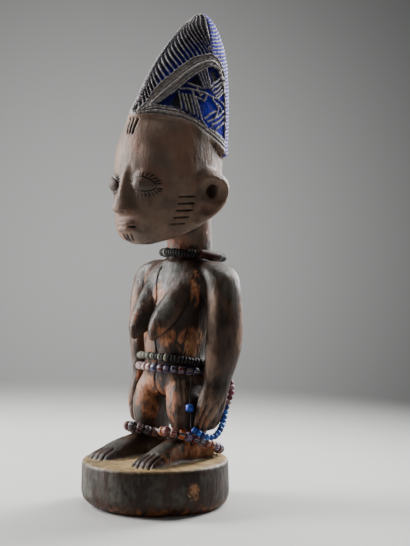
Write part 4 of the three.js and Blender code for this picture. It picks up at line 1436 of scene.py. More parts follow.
@dataclass
class CarvedFigure:
    """The figure, its hair and its base, carved from one block."""

    name: str = "carved_figure"
    grain: float = 1.1
    smooth_rounds: int = 3
    plain_share: float = 0.25
    flat_angle: float = 0.02
    coiffure: Coiffure = field(default_factory=Coiffure)
    base_around: int = 128
    base_rings: int = 60
    base_edge_steps: int = 9
    ear_cups: tuple[tuple[Place, Place], ...] = (
        ((35, 10.4, 150.4), (9.2, 14, 9)), ((34, 7.6, 143), (8, 12, 7)),
    )
    ear_hole: tuple[Place, Place] = ((25.6, 18.4, 152), (4.6, 3.2, 4.6))

    # Where the mesh is finer, besides the hair: lids, lips, brow, cheeks, front, flanks, toes and knot.
    hair_axis: float = 20
    hair_lowest: float = 170
    hair_margin: float = 2
    fine_regions: tuple[Region, ...] = (
        Region((-1, 27), (-99, -5), (146, 168)),
        Region((-1, 13), (-99, -5), (122, 149)),
        Region((-1, 13), (-99, -5), (180, 195)),
        Region((17, 99), (-16, 15), (131, 151.5)),
        Region((-1, 7), (-99, 18), (36, 113)),
        Region((10, 22.4), (4, 26), (58, 78)),
        Region((6, 99), (-99, -16), (FEET_SUNK + 0.4, 12)),
        Region((34, 99), (-18, -1), (-18, -3), both_sides=False),
    )

    finger_turns: tuple[float, ...] = (-74, -40, -4, 40)
    finger_heights: Span = (19, 36)
    finger_lean: float = 34

    # The cuts between the toes start further forward towards the outside of the foot, and fan out.
    toe_cuts: int = 4
    toe_first: float = 12.9
    toe_spread: float = 3.5
    toe_root: float = -19.5
    toe_tip: float = -29.6
    fan_start: float = -17.5
    fan: float = 0.16
    toe_drop: Place = (0, -0.4, -3.4)

    cheek_heights: tuple[float, ...] = (149, 145.2, 141.4, 137.6, 134)
    cheek_turns: Span = (-4, -24)
    nostril: tuple[Place, Place] = ((3.4, -28.6, 139.9), (4.6, -26.8, 139.7))
    forehead_marks: tuple[Line, ...] = (
        ((193, -101), (183, -95.5)), ((193, -90), (183, -90)), ((193, -79), (183, -84.5)),
    )
    chin_marks: tuple[Line, ...] = tuple(((128.2, turn), (124.6, turn)) for turn in (-99, -90, -81))
    mouth_half: float = 8.2
    mouth_drop: Place = (0, -1.4, -0.4)

    # An eye's rim runs just inside its ends. A lash runs from the first to the second of its ends, each given
    # by how far beyond the rim it is across and how far up or down at the middle of the eye.
    rim_inset: float = 0.8
    rim_rise: float = 4.1
    lash_turns: Span = (0.25, math.pi - 0.2)
    lash_pitch: float = 1.9
    lash_radius: float = 8
    lash_ends: Line = ((0.4, 4.9), (1.6, 6.6))

    crack: Line = (
        (112.5, -103), (109, -100.5), (105, -99), (100, -96), (93, -92), (84, -90), (72, -90), (66, -89),
        (60, -87), (55, -88), (48, -91), (42, -90.5), (37, -86),
    )
    crack_jog: float = 0.8
    crack_seed: int = 7
    scratches: int = 7
    thigh_ridges: tuple[float, ...] = (-62, -44)
    flat_sizes: tuple[float, ...] = (5.3, 6.1, 4.7, 7)

    # How far in from the base's edge its pale rim of dust and painted highlight begins and is full, and the
    # knot in its side.
    rim_inner: Span = (3, 1.4)
    knot: Place = (40.4, -9.3, 13)
    knot_size: Span = (5.4, 6.6)
    knot_depth: float = 0.35

    def build(self) -> Object:
        """Builds the carved figure.

        Returns:
            The finished mesh object, dressed.
        """
        figure = self.rough_out()
        self.thin_out(figure)
        self.refine(figure)
        surface = Surface(figure.data)
        self.coiffure.carve(surface)
        surface.settle()
        self.cut_hands(surface)
        self.cut_feet(surface)
        self.cut_face(surface)
        self.age(surface)
        surface.settle()
        surface.read_hollows()
        self.tint(surface)
        self.mark_knot(surface)
        surface.points[:, 2] = np.maximum(surface.points[:, 2], 0)
        surface.store()
        work_on(figure)
        bpy.ops.object.shade_smooth()
        figure.data.materials.clear()
        figure.data.materials.append(HandledWood().material)
        return figure

    def rough_out(self) -> Object:
        """Joins the figure's forms into one closed skin of even grain.

        Returns:
            The figure's blank.
        """
        head = add_loft(HEAD)
        for side in Side:
            cut_away(head, add_oval(*self.ear_hole, side))
        parts = [self.base(), add_loft(TORSO), add_loft(NECK), head]
        parts.append(add_loft(HAIR, lift=self.coiffure.blank_lift))
        parts += [add_loft(NOSE), add_loft(UPPER_LIP), add_loft(LOWER_LIP)]
        for side in Side:
            ear = add_loft(EAR, side)
            for hollow in (*self.ear_cups, self.ear_hole):
                cut_away(ear, add_oval(*hollow, side))
            parts += [ear, *(add_loft(form, side) for form in (EYELID, EYE, BREAST, ARM, LEG, FOOT))]
        figure = join(parts, self.name)
        apply_modifier(figure, "REMESH", mode="VOXEL", voxel_size=self.grain * MM)
        apply_modifier(figure, "SMOOTH", factor=0.5, iterations=self.smooth_rounds)
        return figure

    def base(self) -> Object:
        """Turns the round base: a worn lower edge and a soft upper one.

        Returns:
            The base.
        """
        rings = []
        for turn in np.linspace(0, math.pi / 2, self.base_edge_steps):
            inset = BASE_FOOT_INSET * (1 - math.sin(turn))
            rings.append((BASE_FOOT_RISE * (1 - math.cos(turn)), BASE_RADIUS - inset))
        rings.append((BASE_THICKNESS - BASE_TOP_ROUND, BASE_RADIUS - BASE_TAPER))
        rings.append((BASE_THICKNESS, BASE_RADIUS - BASE_TAPER - BASE_TOP_ROUND))
        heights, radii = np.array(rings).T
        base = add_sleeve(self.base_around, self.base_rings)
        points = points_of(base.data) * MM
        height = (points[:, 2] + 0.5) * BASE_THICKNESS
        angle, share = np.arctan2(points[:, 1], points[:, 0]), np.hypot(points[:, 0], points[:, 1])
        radius = np.interp(height, heights, radii)
        inset = np.where(height < BASE_FOOT_RISE, BASE_RADIUS - radius, 0)
        radius = (radius - inset * BASE_WEAR * np.cos(angle - WEAR_TURN)) * share
        place_points(base.data, np.stack([radius * np.cos(angle), radius * np.sin(angle), height], axis=1))
        face_outward(base)
        return base

    def thin_out(self, figure: Object) -> None:
        """Leaves the plain skin with fewer and larger faces, and the carved parts as they are.

        Args:
            figure: The figure's blank.
        """
        places = points_of(figure.data) - FROM_SOLES
        plain = np.nonzero(~self.is_fine(places))[0].tolist()
        skin = figure.vertex_groups.new(name="plain_skin")
        skin.add(plain, 1.0, "REPLACE")
        kept = 1 - (1 - self.plain_share) * len(plain) / len(places)
        apply_modifier(figure, "DECIMATE", decimate_type="COLLAPSE", ratio=kept, vertex_group=skin.name)
        figure.vertex_groups.clear()

    def refine(self, figure: Object) -> None:
        """Makes the mesh finer where the carving is fine, and joins the faces of the flat underside.

        Args:
            figure: The figure's thinned blank.
        """
        work_on(figure)
        bpy.ops.object.mode_set(mode="EDIT")
        bpy.ops.mesh.select_mode(type="FACE")
        bpy.ops.mesh.select_all(action="DESELECT")
        shape = bmesh.from_edit_mesh(figure.data)
        middles = np.array([face.calc_center_median() / MM for face in shape.faces])
        for face, fine in zip(shape.faces, self.is_fine(middles - FROM_SOLES).tolist()):
            face.select_set(fine)
        bmesh.update_edit_mesh(figure.data)
        bpy.ops.mesh.subdivide(number_cuts=1, smoothness=0)
        bpy.ops.mesh.select_all(action="DESELECT")
        shape = bmesh.from_edit_mesh(figure.data)
        for face in shape.faces:
            face.select_set(all(vert.co.z < 0.3 * MM for vert in face.verts))
        bmesh.update_edit_mesh(figure.data)
        bpy.ops.mesh.dissolve_limited(angle_limit=self.flat_angle)
        bpy.ops.object.mode_set(mode="OBJECT")

    def is_fine(self, places: Array) -> Array:
        """Tells which places on the figure have fine carving.

        Args:
            places: The places, by their heights above the soles.

        Returns:
            True for each place that has.
        """
        x, y, height = places.T
        edge = self.coiffure.edge_height(np.arctan2(y - self.hair_axis, np.abs(x)))
        fine = (height > edge - self.hair_margin) & (height > self.hair_lowest)
        for region in self.fine_regions:
            fine |= region.holds(places)
        return fine

    def cut_hands(self, surface: Surface) -> None:
        """Parts the fingers with long straight cuts that lean forward.

        Args:
            surface: Its surface.
        """
        low, high = self.finger_heights
        for side in Side:
            for turn in self.finger_turns:
                path = ARM.trace(((low, turn), (high, turn + self.finger_lean)))
                surface.groove(path, Cut(1.7, 1.0), side)

    def cut_feet(self, surface: Surface) -> None:
        """Parts the toes with short deep cuts that fan out down the front of each foot.

        Args:
            surface: Its surface.
        """
        for side in Side:
            for k in range(self.toe_cuts):
                y = np.linspace(self.toe_root + 0.6 * k, self.toe_tip, 16)
                fan = self.fan * (k / (self.toe_cuts - 1))
                across = self.toe_first + self.toe_spread * k + (self.fan_start - y) * fan
                foot = FOOT.section(y)
                share = (across - foot.across) / foot.wide
                cosine = np.sign(share) * np.abs(share) ** (FOOT.squareness / 2)
                top = FOOT.outline(y, np.arccos(np.clip(cosine, -1, 1))) + FROM_SOLES
                front = top[-1] + np.outer(np.linspace(0, 1, 5), self.toe_drop)
                for path in (top, front):
                    surface.groove(path, Cut(2.2, 0.35, None), side)
                    surface.groove(path, Cut(1.1, 1.0), side)

    def cut_face(self, surface: Surface) -> None:
        """Cuts the eyes, nostrils, the line of the lips and the short marks of lineage.

        Args:
            surface: Its surface.
        """
        front, back = self.cheek_turns
        for side in Side:
            self.cut_eye(surface, side)
            for height in self.cheek_heights:
                path = HEAD.trace(((height, front), (height - 0.3, back)))
                surface.groove(path, Cut(1.1, 0.6), side)
            surface.groove(np.array(self.nostril) + FROM_SOLES, Cut(2.4, 1.2), side)
        for marks, cut in ((self.forehead_marks, Cut(1.4, 1.0)), (self.chin_marks, Cut(1.3, 0.7))):
            for mark in marks:
                surface.groove(HEAD.trace(mark), cut)
        across = np.linspace(-self.mouth_half, self.mouth_half, 24)
        mouth = UPPER_LIP.outline(across, np.full(24, -math.pi / 2)) + FROM_SOLES
        surface.groove(mouth + self.mouth_drop, Cut(1.5, 0.9))

    def cut_eye(self, surface: Surface, side: Side) -> None:
        """Cuts the rim of an eye between its lids, and the lashes round it.

        Args:
            surface: Its surface.
            side: The side that the eye is on.
        """
        first, last = EYE.ends
        middle, half = (last + first) / 2, (last - first) / 2 - self.rim_inset
        turn = np.linspace(0, 2 * math.pi, 49)
        x = middle + half * np.cos(turn)
        rim = self.on_face(x, EYE.section(x).middle + self.rim_rise * np.sin(turn))
        surface.groove(rim, Cut(1.1, 0.6), side)
        for angle in np.arange(*self.lash_turns, self.lash_pitch / self.lash_radius):
            for way in (1, -1):
                ends = [
                    (middle + (half + out) * math.cos(angle), way * up * math.sin(angle))
                    for out, up in self.lash_ends
                ]
                x, rise = np.linspace(*np.array(ends), 5).T
                surface.groove(self.on_face(x, EYE.section(x).middle + rise), Cut(0.9, 0.4), side)

    def on_face(self, x: Array, height: Array) -> Array:
        """Finds places on the front of the face.

        Args:
            x: How far across they are.
            height: Their heights.

        Returns:
            The places, in the row frame.
        """
        turn = np.linspace(-math.pi, math.pi, 361)
        front = turn[90:181]
        depths = []
        for place, level in zip(x, height):
            head = HEAD.outline(np.full(len(front), level), front)
            found = [np.interp(abs(place), head[:, 0], head[:, 1])]
            for form in (EYELID, EYE):
                first, last = form.ends
                if first < place < last:
                    ring = form.outline(np.full(len(turn), place), turn)
                    near = ring[np.abs(ring[:, 2] - level) < 0.25]
                    if len(near):
                        found.append(near[:, 1].min())
            depths.append(min(found))
        return np.stack([x, depths, height + SOLES], axis=1)

    def age(self, surface: Surface) -> None:
        """Opens the drying crack, scratches the flanks and leaves the blade's flats in the skin.

        Args:
            surface: Its surface.
        """
        dice = random.Random(self.crack_seed)
        jog = self.crack_jog
        stops = [(height, turn + dice.uniform(-jog, jog)) for height, turn in self.crack]
        surface.groove(TORSO.trace(stops, 6), Cut(1.0, 0.8))
        for side in Side:
            for k in range(self.scratches):
                path = TORSO.trace(((61 - k % 3, -30 + 7 * k), (72 + k % 4, -14 + 6 * k)), 8)
                surface.groove(path, Cut(0.6, 0.2, Tint.EARTH), side)
            for turn in self.thigh_ridges:
                surface.groove(LEG.trace(((48, turn), (34, turn + 4))), Cut(1.3, -0.3, Tint.WORN), side)
        x, y, z = surface.points.T
        tall, swing, deep, broad = self.flat_sizes
        flats = np.sin(z / tall + 2 * np.sin(x / swing)) * np.sin(y / deep + x / broad)
        lift = flats * 0.16 * ramp(surface.heights, 118, 108)
        surface.points += surface.normals * lift[:, None]

    def tint(self, surface: Surface) -> None:
        """Lays the powder, dust, wear and dust film on the skin, with painted light, sheen and shade.

        Args:
            surface: Its surface.
        """
        z, tints, above = surface.points[:, 2], surface.tints, surface.heights - FEET_SUNK
        reach = np.hypot(surface.points[:, 0], surface.points[:, 1])
        bare = 1 - np.clip(tints[Tint.CHALK] + tints[Tint.INDIGO] + tints[Tint.SOOT], 0, 1)
        surface.lay(Tint.WORN, ramp(surface.heights, 114, 130) * bare)
        for tint, dabs in BODY_DABS.items():
            for dab in dabs:
                surface.dab(tint, dab)
        # Each coat on the base begins and is full at a height over its top, or over its foot.
        on_top = ramp(above, -0.8, -0.2) * ramp(above, 1.1, 0.3)
        surface.lay(Tint.EARTH, on_top * (1 - 0.7 * tints[Tint.PATINA]))
        # A pale line round the base's top edge: dust, and a painted highlight.
        rim = ramp(reach, *(BASE_RADIUS - width for width in self.rim_inner))
        rim *= ramp(above, -1.6, -0.6) * ramp(above, 0.6, 0.2)
        surface.lay(Tint.EARTH, rim * 0.5)
        round_side = ramp(above, -1, -4) * ramp(z, 3, 9)
        surface.lay(Tint.PATINA, round_side * 0.26)
        foot_edge = ramp(z, 9, 1) * (reach > 30)
        surface.lay(Tint.CAMWOOD, foot_edge * 0.3)
        tints[Tint.PROUD] *= ramp(above, 8, 14)
        # Painted shade and worn edges keep off the painted hair and the base below its top.
        for shade_and_wear_tint in (Tint.HOLLOW, Tint.PROUD):
            tints[shade_and_wear_tint] *= bare * ramp(above, -1, 0.5)

    def mark_knot(self, surface: Surface) -> None:
        """Marks the knot in the base's side, a torn and dusty scar.

        Args:
            surface: Its surface.
        """
        x, y, up = (surface.points - self.knot).T
        across = np.hypot(x, y) * np.sign(y)
        wide, high = self.knot_size
        spread = ramp(np.hypot(across / wide, up / high), 1, 0.45)
        bend = across * 1.3 + 1.4 * np.sin(up * 0.9)
        torn = 0.5 + 0.5 * np.sin(bend) * np.sin(up * 1.7 + 0.8 * across)
        scar = spread * ramp(torn, 0.45, 0.8)
        surface.lay(Tint.EARTH, 0.6 * scar)
        surface.lay(Tint.CAMWOOD, 0.38 * spread)
        surface.points -= surface.normals * (scar * self.knot_depth)[:, None]


@dataclass(frozen=True)
class Bead:
    """A sort of bead: its width, its length along the thread and how round its shoulders are."""

    width: float
    length: float
    shoulder: float
    around: int = 14


@dataclass(frozen=True)
class Strung:
    """A bead on its thread: its sort, its ground and stripe colours, and its place along the thread."""

    bead: Bead
    ground: str
    stripe: str
    place: float


@dataclass
class BeadString:
    """A string of beads, threaded one by one along a line."""

    name: str
    node: str
    slot: str
    glass: Glass
    line: Array
    closed: bool = True
    thread: float = 0.9
    thread_colour: str = "#0c0807"
    lean: float = 0.07
    sizes: Span = (0.93, 1.03)
    sharp: float = math.radians(50)
    reach: float = 0.6

    def build(self, order: list[Strung], with_thread: bool = True) -> Object:
        """Threads the beads.

        Args:
            order: The beads in order.
            with_thread: Whether the thread is part of the piece.

        Returns:
            The finished string.
        """
        dice = random.Random(self.name)
        masters = {bead: self.model(bead) for bead in dict.fromkeys(strung.bead for strung in order)}
        parts = [self.add_thread()] if with_thread else []
        for strung in order:
            copy = masters[strung.bead].copy()
            copy.data = copy.data.copy()
            bpy.context.collection.objects.link(copy)
            middle, run = self.at(strung.place)
            straight = Vector((0, 0, 1)).rotation_difference(Vector(run)).to_matrix().to_4x4()
            tilt = Matrix.Rotation(dice.uniform(-self.lean, self.lean), 4, "X")
            turn = Matrix.Rotation(dice.uniform(0, 6.28), 4, "Z")
            size = Matrix.Diagonal((*[dice.uniform(*self.sizes)] * 2, 1, 1))
            copy.data.transform(Matrix.Translation(Vector(middle) * MM) @ straight @ tilt @ turn @ size)
            self.paint(copy.data, strung.ground, strung.stripe)
            parts.append(copy)
        for master in masters.values():
            bpy.data.objects.remove(master)
        string = join(parts, self.name)
        string.data.materials.clear()
        string.data.materials.append(BeadGlass(self.glass).material)
        work_on(string)
        bpy.ops.object.shade_smooth_by_angle(angle=self.sharp)
        return string

    @property
    def lengths(self) -> Array:
        """The length of the line up to each of its points."""
        steps = np.linalg.norm(np.diff(self.loop, axis=0), axis=1)
        return np.concatenate([[0], np.cumsum(steps)])

    @property
    def loop(self) -> Array:
        """The line's points, with the first one again at the end if it is closed."""
        return np.vstack([self.line, self.line[:1]]) if self.closed else self.line

    def read(self, place: float) -> Array:
        """The point of the thread at a length along it."""
        return np.array([np.interp(place, self.lengths, self.loop[:, k]) for k in range(3)])

    def at(self, place: float) -> tuple[Array, Array]:
        """The point and the direction of the thread at a length along it."""
        run = self.read(min(place + self.reach, self.lengths[-1])) - self.read(max(place - self.reach, 0))
        return self.read(place), run / np.linalg.norm(run)

    def model(self, bead: Bead) -> Object:
        """Models one bead, standing on the origin with its hole along Z.

        Args:
            bead: The sort of bead.

        Returns:
            The bead.
        """
        deselect_all()
        sizes = {"radius": bead.width / 2 * MM, "depth": bead.length * MM}
        bpy.ops.mesh.primitive_cylinder_add(vertices=bead.around, **sizes)
        model = bpy.context.active_object
        edges = {"limit_method": "ANGLE", "angle_limit": self.sharp}
        apply_modifier(model, "BEVEL", width=bead.shoulder * MM, segments=3, **edges)
        return model

    def add_thread(self) -> Object:
        """Draws the thread through the beads.

        Returns:
            The thread.
        """
        deselect_all()
        curve = bpy.data.curves.new("thread", "CURVE")
        curve.dimensions = "3D"
        spline = curve.splines.new("POLY")
        spline.points.add(len(self.line) - 1)
        for point, place in zip(spline.points, self.line):
            point.co = (*(place * MM), 1)
        spline.use_cyclic_u = self.closed
        curve.bevel_depth = self.thread / 2 * MM
        curve.bevel_resolution = 1
        curve.use_fill_caps = True
        thread = bpy.data.objects.new("thread", curve)
        bpy.context.collection.objects.link(thread)
        work_on(thread)
        bpy.ops.object.convert(target="MESH")
        thread = bpy.context.active_object
        if not thread.data.uv_layers:
            thread.data.uv_layers.new(name="UVMap")
        self.paint(thread.data, self.thread_colour, self.thread_colour)
        return thread

    def paint(self, mesh: Mesh, ground: str, stripe: str) -> None:
        """Gives every point of a mesh its bead's ground and stripe colours.

        Args:
            mesh: The mesh.
            ground: The ground's colour.
            stripe: The stripes' colour.
        """
        for name, colour in (("ground", ground), ("stripe", stripe)):
            layer = mesh.attributes.new(name, "FLOAT_COLOR", "POINT")
            values = np.tile(np.array(srgb(colour), np.float32), len(mesh.vertices))
            layer.data.foreach_set("color", values)


ONE_TURN = np.linspace(0, 2 * math.pi, 160, endpoint=False)


def ring_round(form: Form, front: float, back: float, bead_width: float) -> Array:
    """Lays a string round a standing form.

    Args:
        form: The form.
        front: The string's height at the front.
        back: Its height at the back.
        bead_width: The width of the beads in the solids, which sets how far out the thread runs.

    Returns:
        The thread's points in the row frame.
    """
    height = front + (back - front) * (1 + np.sin(ONE_TURN)) / 2
    gap = bead_width / 2 + BEAD_CLEARANCE
    return form.outline(height, ONE_TURN) + form.out_of(height, ONE_TURN) * gap + FROM_SOLES


@dataclass(frozen=True)
class Slack:
    """The room that a loop leaves on each side of a limb."""

    out: float
    inner: float
    front: float
    back: float


def loop_round(
    limb: Form, rest: float, slack: Slack, fall: float, bead_width: float, side: Side = Side.LEFT
) -> Array:
    """Lays a tilted loop round a limb.

    Args:
        limb: The limb.
        rest: The height of what the loop rests on at its middle.
        slack: The room it leaves.
        fall: How far it falls for each millimetre towards the back.
        bead_width: The width of its beads in the solids.
        side: Which side of the figure it is on.

    Returns:
        The thread's points in the row frame.
    """
    half = bead_width / 2
    cut = limb.section(np.array([rest]))
    inner = cut.across - cut.wide - slack.inner - half
    outer = cut.across + cut.wide + slack.out + half
    front = cut.middle - cut.low - slack.front - half
    back = cut.middle + cut.high + slack.back + half
    depth = (back - front) / 2 * np.sin(ONE_TURN)
    left = (inner + outer) / 2 + (outer - inner) / 2 * np.cos(ONE_TURN)
    points = np.stack([left, (front + back) / 2 + depth, rest + half - fall * depth + SOLES], axis=1)
    return on_side(points, side)


Colours = tuple[tuple[str, str], ...]


@dataclass(frozen=True)
class Run:
    """A run of like beads on a closed string, up to a turn round it in degrees, with their colours in order.

    Each colour is a bead's ground and its stripes.
    """

    until: float
    bead: Bead
    colours: Colours


def threaded(string: BeadString, runs: tuple[Run, ...], gap: float) -> list[Strung]:
    """Fills a closed string with beads.

    Args:
        string: The string.
        runs: Its runs of beads, by rising turn.
        gap: The space between two beads.

    Returns:
        The beads in order.
    """
    turns = np.linspace(0, 360, len(string.lengths))
    order, reached = [], 0.0
    while True:
        turn = np.interp(reached, string.lengths, turns)
        run = next(run for run in runs if turn < run.until or run is runs[-1])
        if reached + run.bead.length > string.lengths[-1]:
            return order
        ground, stripe = run.colours[len(order) % len(run.colours)]
        order.append(Strung(run.bead, ground, stripe, reached + run.bead.length / 2))
        reached += run.bead.length + gap


def dress(piece: Object, node: str) -> None:
    """Puts a finished piece in the place of its solid and reports it.

    Args:
        piece: The piece.
        node: The name of the solid's node.
    """
    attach(piece, BODY)
    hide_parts(node)
    triangles = sum(len(face.vertices) - 2 for face in piece.data.polygons)
    LOG.info("%s: %d triangles", piece.name, triangles)


def plain(*colours: str) -> Colours:
    """The colours of beads without stripes."""
    return tuple((colour, colour) for colour in colours)


@dataclass
class Strings:
    """The strings of beads that the figure wears."""

    dark: Colours = plain("#0e0b09", "#171210", "#0b0908", "#1c1815")
    pale: Colours = plain("#77786a", "#4c4c41", "#8a8576", "#5b5648")
    dusty: Colours = plain("#77786a", "#2a2823", "#8a8576", "#3b3a31", "#1a1613")
    tube_red: Colours = plain("#3d1410")
    ring_greys: tuple[Colours, Colours] = (plain("#55564f"), plain("#6b6c64"))
    deep: Colours = (
        ("#22142e", "#161a56"), ("#521a1c", "#1a1e58"), ("#1e1636", "#461a1e"), ("#141744", "#381428"),
    )
    light: Colours = (
        ("#a88d86", "#7c3535"), ("#b59f98", "#8a3f3f"), ("#9b8080", "#3a3350"), ("#b09690", "#743030"),
    )
    night: Colours = (("#343660", "#16183c"),)
    brick: Colours = (("#5c2222", "#20245e"),)
    bright: Colours = (
        ("#88564c", "#701818"), ("#a04e20", "#14102c"), ("#6a5876", "#161e70"), ("#5c1420", "#12164e"),
        ("#6a6878", "#0e1236"), ("#101650", "#601818"), ("#a04e20", "#161a54"), ("#a87040", "#1a1e56"),
        ("#885050", "#6c1620"),
    )
    worn: Colours = (
        ("#7a504a", "#4e1818"), ("#4c4450", "#181840"), ("#5a3a40", "#401e20"), ("#3a323e", "#141738"),
    )
    blues: tuple[str, ...] = ("#15408f", "#2a62bc", "#102c70", "#3f78c8", "#1c4ca4")
    reds: tuple[str, ...] = ("#7a3a48", "#9a7880", "#5c2632")
    hip_blue: str = "#22409c"
    no_stripe: str = "#000000"

    disc: Bead = Bead(4.6, 1.3, 0.35)
    waist_disc: Bead = Bead(4.2, 1.5, 0.4)
    tube: Bead = Bead(5.2, 13.5, 0.5, 20)
    ring_bead: Bead = Bead(5.6, 1.9, 0.7, 18)
    barrel: Bead = Bead(4.6, 3.4, 0.9)
    round_barrel: Bead = Bead(5.2, 4.2, 1.5)
    ankle_bead: Bead = Bead(5.4, 3.6, 1.0)
    hip_bead: Bead = Bead(4.4, 3.9, 1.1)
    seed: Bead = Bead(3.6, 2.7, 0.9, 12)

    # Which point of its ring the neck's string starts at, and how thick the anklets' thread is.
    tube_start: int = 14
    ankle_thread: float = 2.2

    # The hanging string, by lengths along its thread.
    hip_bead_at: float = 16.8
    seeds_from: float = 29.9
    seed_pitch: float = 2.9
    blue_count: int = 13
    fine_points: int = 240
    path_step: int = 6
    hanging_path: tuple[Place, ...] = (
        (22.2, 7, 48.4), (21.8, 6.6, 44), (22.2, 5.8, 38), (24.2, 3.4, 32.4), (24.9, 3.6, 28.6),
        (25.2, 3.4, 24.6), (26.6, 3, 21.6), (29.4, 5.8, 18.8), (31, 10.6, 16.4), (31.4, 15.6, 16.2),
        (30.6, 20.8, 19.2), (28.8, 25.4, 24), (27.6, 28.4, 29.6), (28, 31, 35.2), (27.6, 33.2, 40.2),
        (26, 34, 44), (24.2, 34, 47),
    )

    def build(self) -> None:
        """Builds and places every string."""
        self.necklace()
        self.dark_waist()
        self.striped_waist()
        self.anklets()
        self.hanging()

    def close(self, string: BeadString, runs: tuple[Run, ...], gap: float) -> None:
        """Threads a closed string and puts it in the place of its solid."""
        dress(string.build(threaded(string, runs, gap)), string.node)

    def necklace(self) -> None:
        """Thin dark discs round the neck, with a dark red tube and two pale rings among them."""
        line = np.roll(loop_round(NECK, 113.1, Slack(0.8, 0.3, 0.1, 5), 0.12, 4.8), self.tube_start, axis=0)
        string = BeadString("neck_string", "necklace", "dark_beads", Glass.DARK, line)
        runs = (
            Run(1, self.tube, self.tube_red),
            Run(50, self.ring_bead, self.ring_greys[0]),
            Run(284, self.disc, self.dark),
            Run(290, self.ring_bead, self.ring_greys[1]),
            Run(360, self.disc, self.dark),
        )
        self.close(string, runs, 0.25)

    def dark_waist(self) -> None:
        """Thin dark discs round the waist, with pale dusty ones on the right of the front."""
        line = ring_round(TORSO, 60.2, 52, 4.2)
        string = BeadString("dark_waist_string", "dark_waist_beads", "dark_beads", Glass.DARK, line)
        stretches = ((205, self.dark), (262, self.pale), (296, self.dusty), (360, self.dark))
        runs = tuple(Run(until, self.waist_disc, colours) for until, colours in stretches)
        self.close(string, runs, 0.35)

    def striped_waist(self) -> None:
        """Striped barrels round the waist under the dark string, paler on the right of the front."""
        line = ring_round(TORSO, 53.6, 48.2, 4.4)
        name, node = "striped_waist_string", "striped_waist_beads"
        string = BeadString(name, node, "striped_beads", Glass.STRIPED, line)
        runs = (
            Run(205, self.barrel, self.deep),
            Run(262, self.barrel, self.light),
            Run(270, self.round_barrel, self.night),
            Run(284, self.barrel, self.brick),
            Run(360, self.barrel, self.deep),
        )
        self.close(string, runs, 0.7)

    def anklets(self) -> None:
        """Large mixed striped beads in a loose loop round each ankle."""
        for name, rest, fall, slack, side, colours in (
            ("left", 10.1, 0.37, Slack(1.5, 0.6, 6.7, 6.5), Side.LEFT, self.bright),
            ("right", 9.7, 0.39, Slack(1.1, 0.3, 4, 4.5), Side.RIGHT, self.worn),
        ):
            line = loop_round(LEG, rest, slack, fall, 5.2, side)
            string = BeadString(
                f"{name}_ankle_string", f"{name}_anklet", "striped_beads", Glass.STRIPED, line,
                thread=self.ankle_thread,
            )
            self.close(string, (Run(360, self.ankle_bead, colours),), 0.8)

    def hanging(self) -> None:
        """The thread from the hip with its bead, and the small beads under the hand and behind the wrist."""
        stops = np.array(self.hanging_path) + FROM_SOLES
        share = np.arange(len(stops), dtype=float)
        fine = np.linspace(0, len(stops) - 1, self.fine_points)
        line = np.stack([along(share, stops[:, k], fine) for k in range(3)], axis=1)
        string = BeadString("hanging_string", "hanging_beads", "blue_beads", Glass.BLUE, line, closed=False)
        order = [Strung(self.hip_bead, self.hip_blue, self.hip_blue, self.hip_bead_at)]
        place, count = self.seeds_from, 0
        while place < string.lengths[-1] - self.seed.length:
            colours = self.blues if count < self.blue_count else self.reds
            order.append(Strung(self.seed, colours[count % len(colours)], self.no_stripe, place))
            place += self.seed_pitch
            count += 1
        beads = string.build(order, with_thread=False)
        dress(beads, string.node)
        thread = string.add_thread()
        thread.name = "hanging_thread"
        thread.data.materials.append(BeadGlass(Glass.DARK).material)
        dress(thread, string.node)


@dataclass(frozen=True)
class Lamp:
    """A soft rectangular lamp: its place by the camera's view of the figure, its size and its power."""

    name: str
    right: float
    away: float
    up: float
    wide: float
    high: float
    power: float


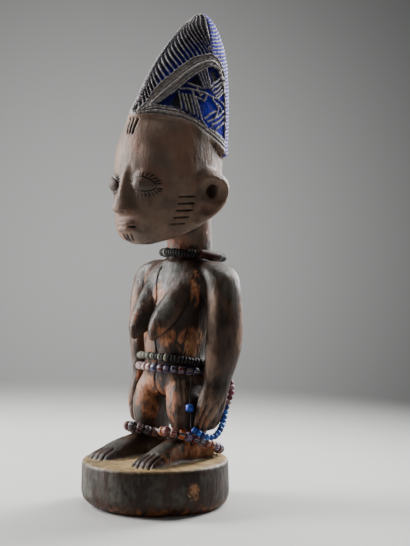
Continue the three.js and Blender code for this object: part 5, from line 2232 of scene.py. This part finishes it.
@dataclass
class Studio:
    """A pale table before a grey wall with a soft pool of light, soft lamps all round, and the camera."""

    camera_place: Place = (570.5, -532.0, 168.0)
    camera_aim: Place = (-0.7056, 0.7070, -0.0490)
    lens: float = 92.17
    sensor: float = 36
    far_end: float = 20
    table_middle: Span = (-118, -193)
    table_radius: float = 640
    table_fade: float = 330
    table_paper: str = "#a3a2a0"
    table_roughness: float = 0.85
    pool_aim: Place = (-0.7593, 0.6497, -0.036)
    pool_from: float = 0.9
    pool_power: float = 4.0
    wall_dark: str = "#424342"
    wall_light: str = "#b9bab8"
    lamp_aim: Place = (0, 0, 140)
    lamps: tuple[Lamp, ...] = (
        Lamp("right_rear_lamp", 430, 400, 380, 260, 420, 14.0),
        Lamp("left_lamp", -520, 130, 330, 240, 460, 12.0),
        Lamp("top_lamp", 60, 240, 900, 420, 420, 7.0),
        Lamp("front_lamp", 240, -900, 520, 500, 500, 1.0),
    )

    def build(self) -> None:
        """Sets up the table, the wall, the lamps and the camera."""
        self.table()
        self.wall()
        for lamp in self.lamps:
            self.hang(lamp)
        self.camera()

    def table(self) -> None:
        """Lays the round table top, whose edge fades into the wall."""
        deselect_all()
        middle, edge = (self.table_middle[0] * MM, self.table_middle[1] * MM, 0), self.table_radius * MM
        bpy.ops.mesh.primitive_circle_add(vertices=128, radius=edge, fill_type="TRIFAN", location=middle)
        table = bpy.context.active_object
        bpy.ops.object.transform_apply(location=True)
        table.name = "floor"
        paper = Finish("matt_pale_paper")
        paper.shader.inputs["Base Color"].default_value = srgb(self.table_paper)
        paper.shader.inputs["Roughness"].default_value = self.table_roughness
        reach = add_node(paper.tree, "VectorMath", {0: paper.place, 1: middle}, operation="DISTANCE")
        start = (self.table_radius - self.table_fade) * MM
        links = {"Value": reach.outputs["Value"], "From Min": edge, "From Max": start}
        solid = add_node(paper.tree, "MapRange", links, interpolation_type="SMOOTHSTEP")
        paper.tree.links.new(solid.outputs["Result"], paper.shader.inputs["Alpha"])
        table.data.materials.append(paper.material)

    def wall(self) -> None:
        """Gives the wall all round its grey, with a pool of light on the side that the camera faces."""
        world = bpy.data.worlds.new("studio")
        bpy.context.scene.world = world
        world.use_nodes = True
        tree = world.node_tree
        toward = add_node(tree, "TexCoord").outputs["Generated"]
        facing = add_node(tree, "VectorMath", {0: toward, 1: self.pool_aim}, operation="DOT_PRODUCT")
        links = {"Value": facing.outputs["Value"], "From Min": self.pool_from, "From Max": 1.0}
        rise = add_node(tree, "MapRange", links).outputs["Result"]
        curve = add_node(tree, "Math", {0: rise, 1: self.pool_power}, operation="POWER").outputs[0]
        links = {"Factor": curve, 6: self.wall_dark, 7: self.wall_light}
        pool = add_node(tree, "Mix", links, data_type="RGBA").outputs[2]
        tree.links.new(pool, tree.nodes["Background"].inputs["Color"])

    def hang(self, lamp: Lamp) -> None:
        """Hangs a lamp so that it faces the figure.

        Args:
            lamp: The lamp.
        """
        away = Vector((self.camera_aim[0], self.camera_aim[1], 0)).normalized()
        right = Vector((away.y, -away.x, 0))
        place = right * lamp.right + away * lamp.away + Vector((0, 0, lamp.up))
        light = bpy.data.lights.new(lamp.name, "AREA")
        light.shape = "RECTANGLE"
        light.size, light.size_y = lamp.wide * MM, lamp.high * MM
        light.energy = lamp.power
        holder = bpy.data.objects.new(lamp.name, light)
        holder.location = place * MM
        holder.rotation_euler = (Vector(self.lamp_aim) - place).to_track_quat("-Z", "Y").to_euler()
        holder.visible_camera = False
        bpy.context.collection.objects.link(holder)

    def camera(self) -> None:
        """Sets up the camera."""
        data = bpy.data.cameras.new("camera")
        data.lens = self.lens
        data.sensor_width = self.sensor
        data.clip_end = self.far_end
        camera = bpy.data.objects.new("camera", data)
        camera.location = Vector(self.camera_place) * MM
        camera.rotation_euler = Vector(self.camera_aim).to_track_quat("-Z", "Y").to_euler()
        bpy.context.collection.objects.link(camera)
        bpy.context.scene.camera = camera


def main() -> None:
    """Builds the figure, its strings and the studio in order."""
    logging.basicConfig(level=logging.INFO, format="%(name)s %(message)s")
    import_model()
    Studio().build()
    dress(CarvedFigure().build(), "figure")
    Strings().build()


if __name__ == "__main__":
    main()
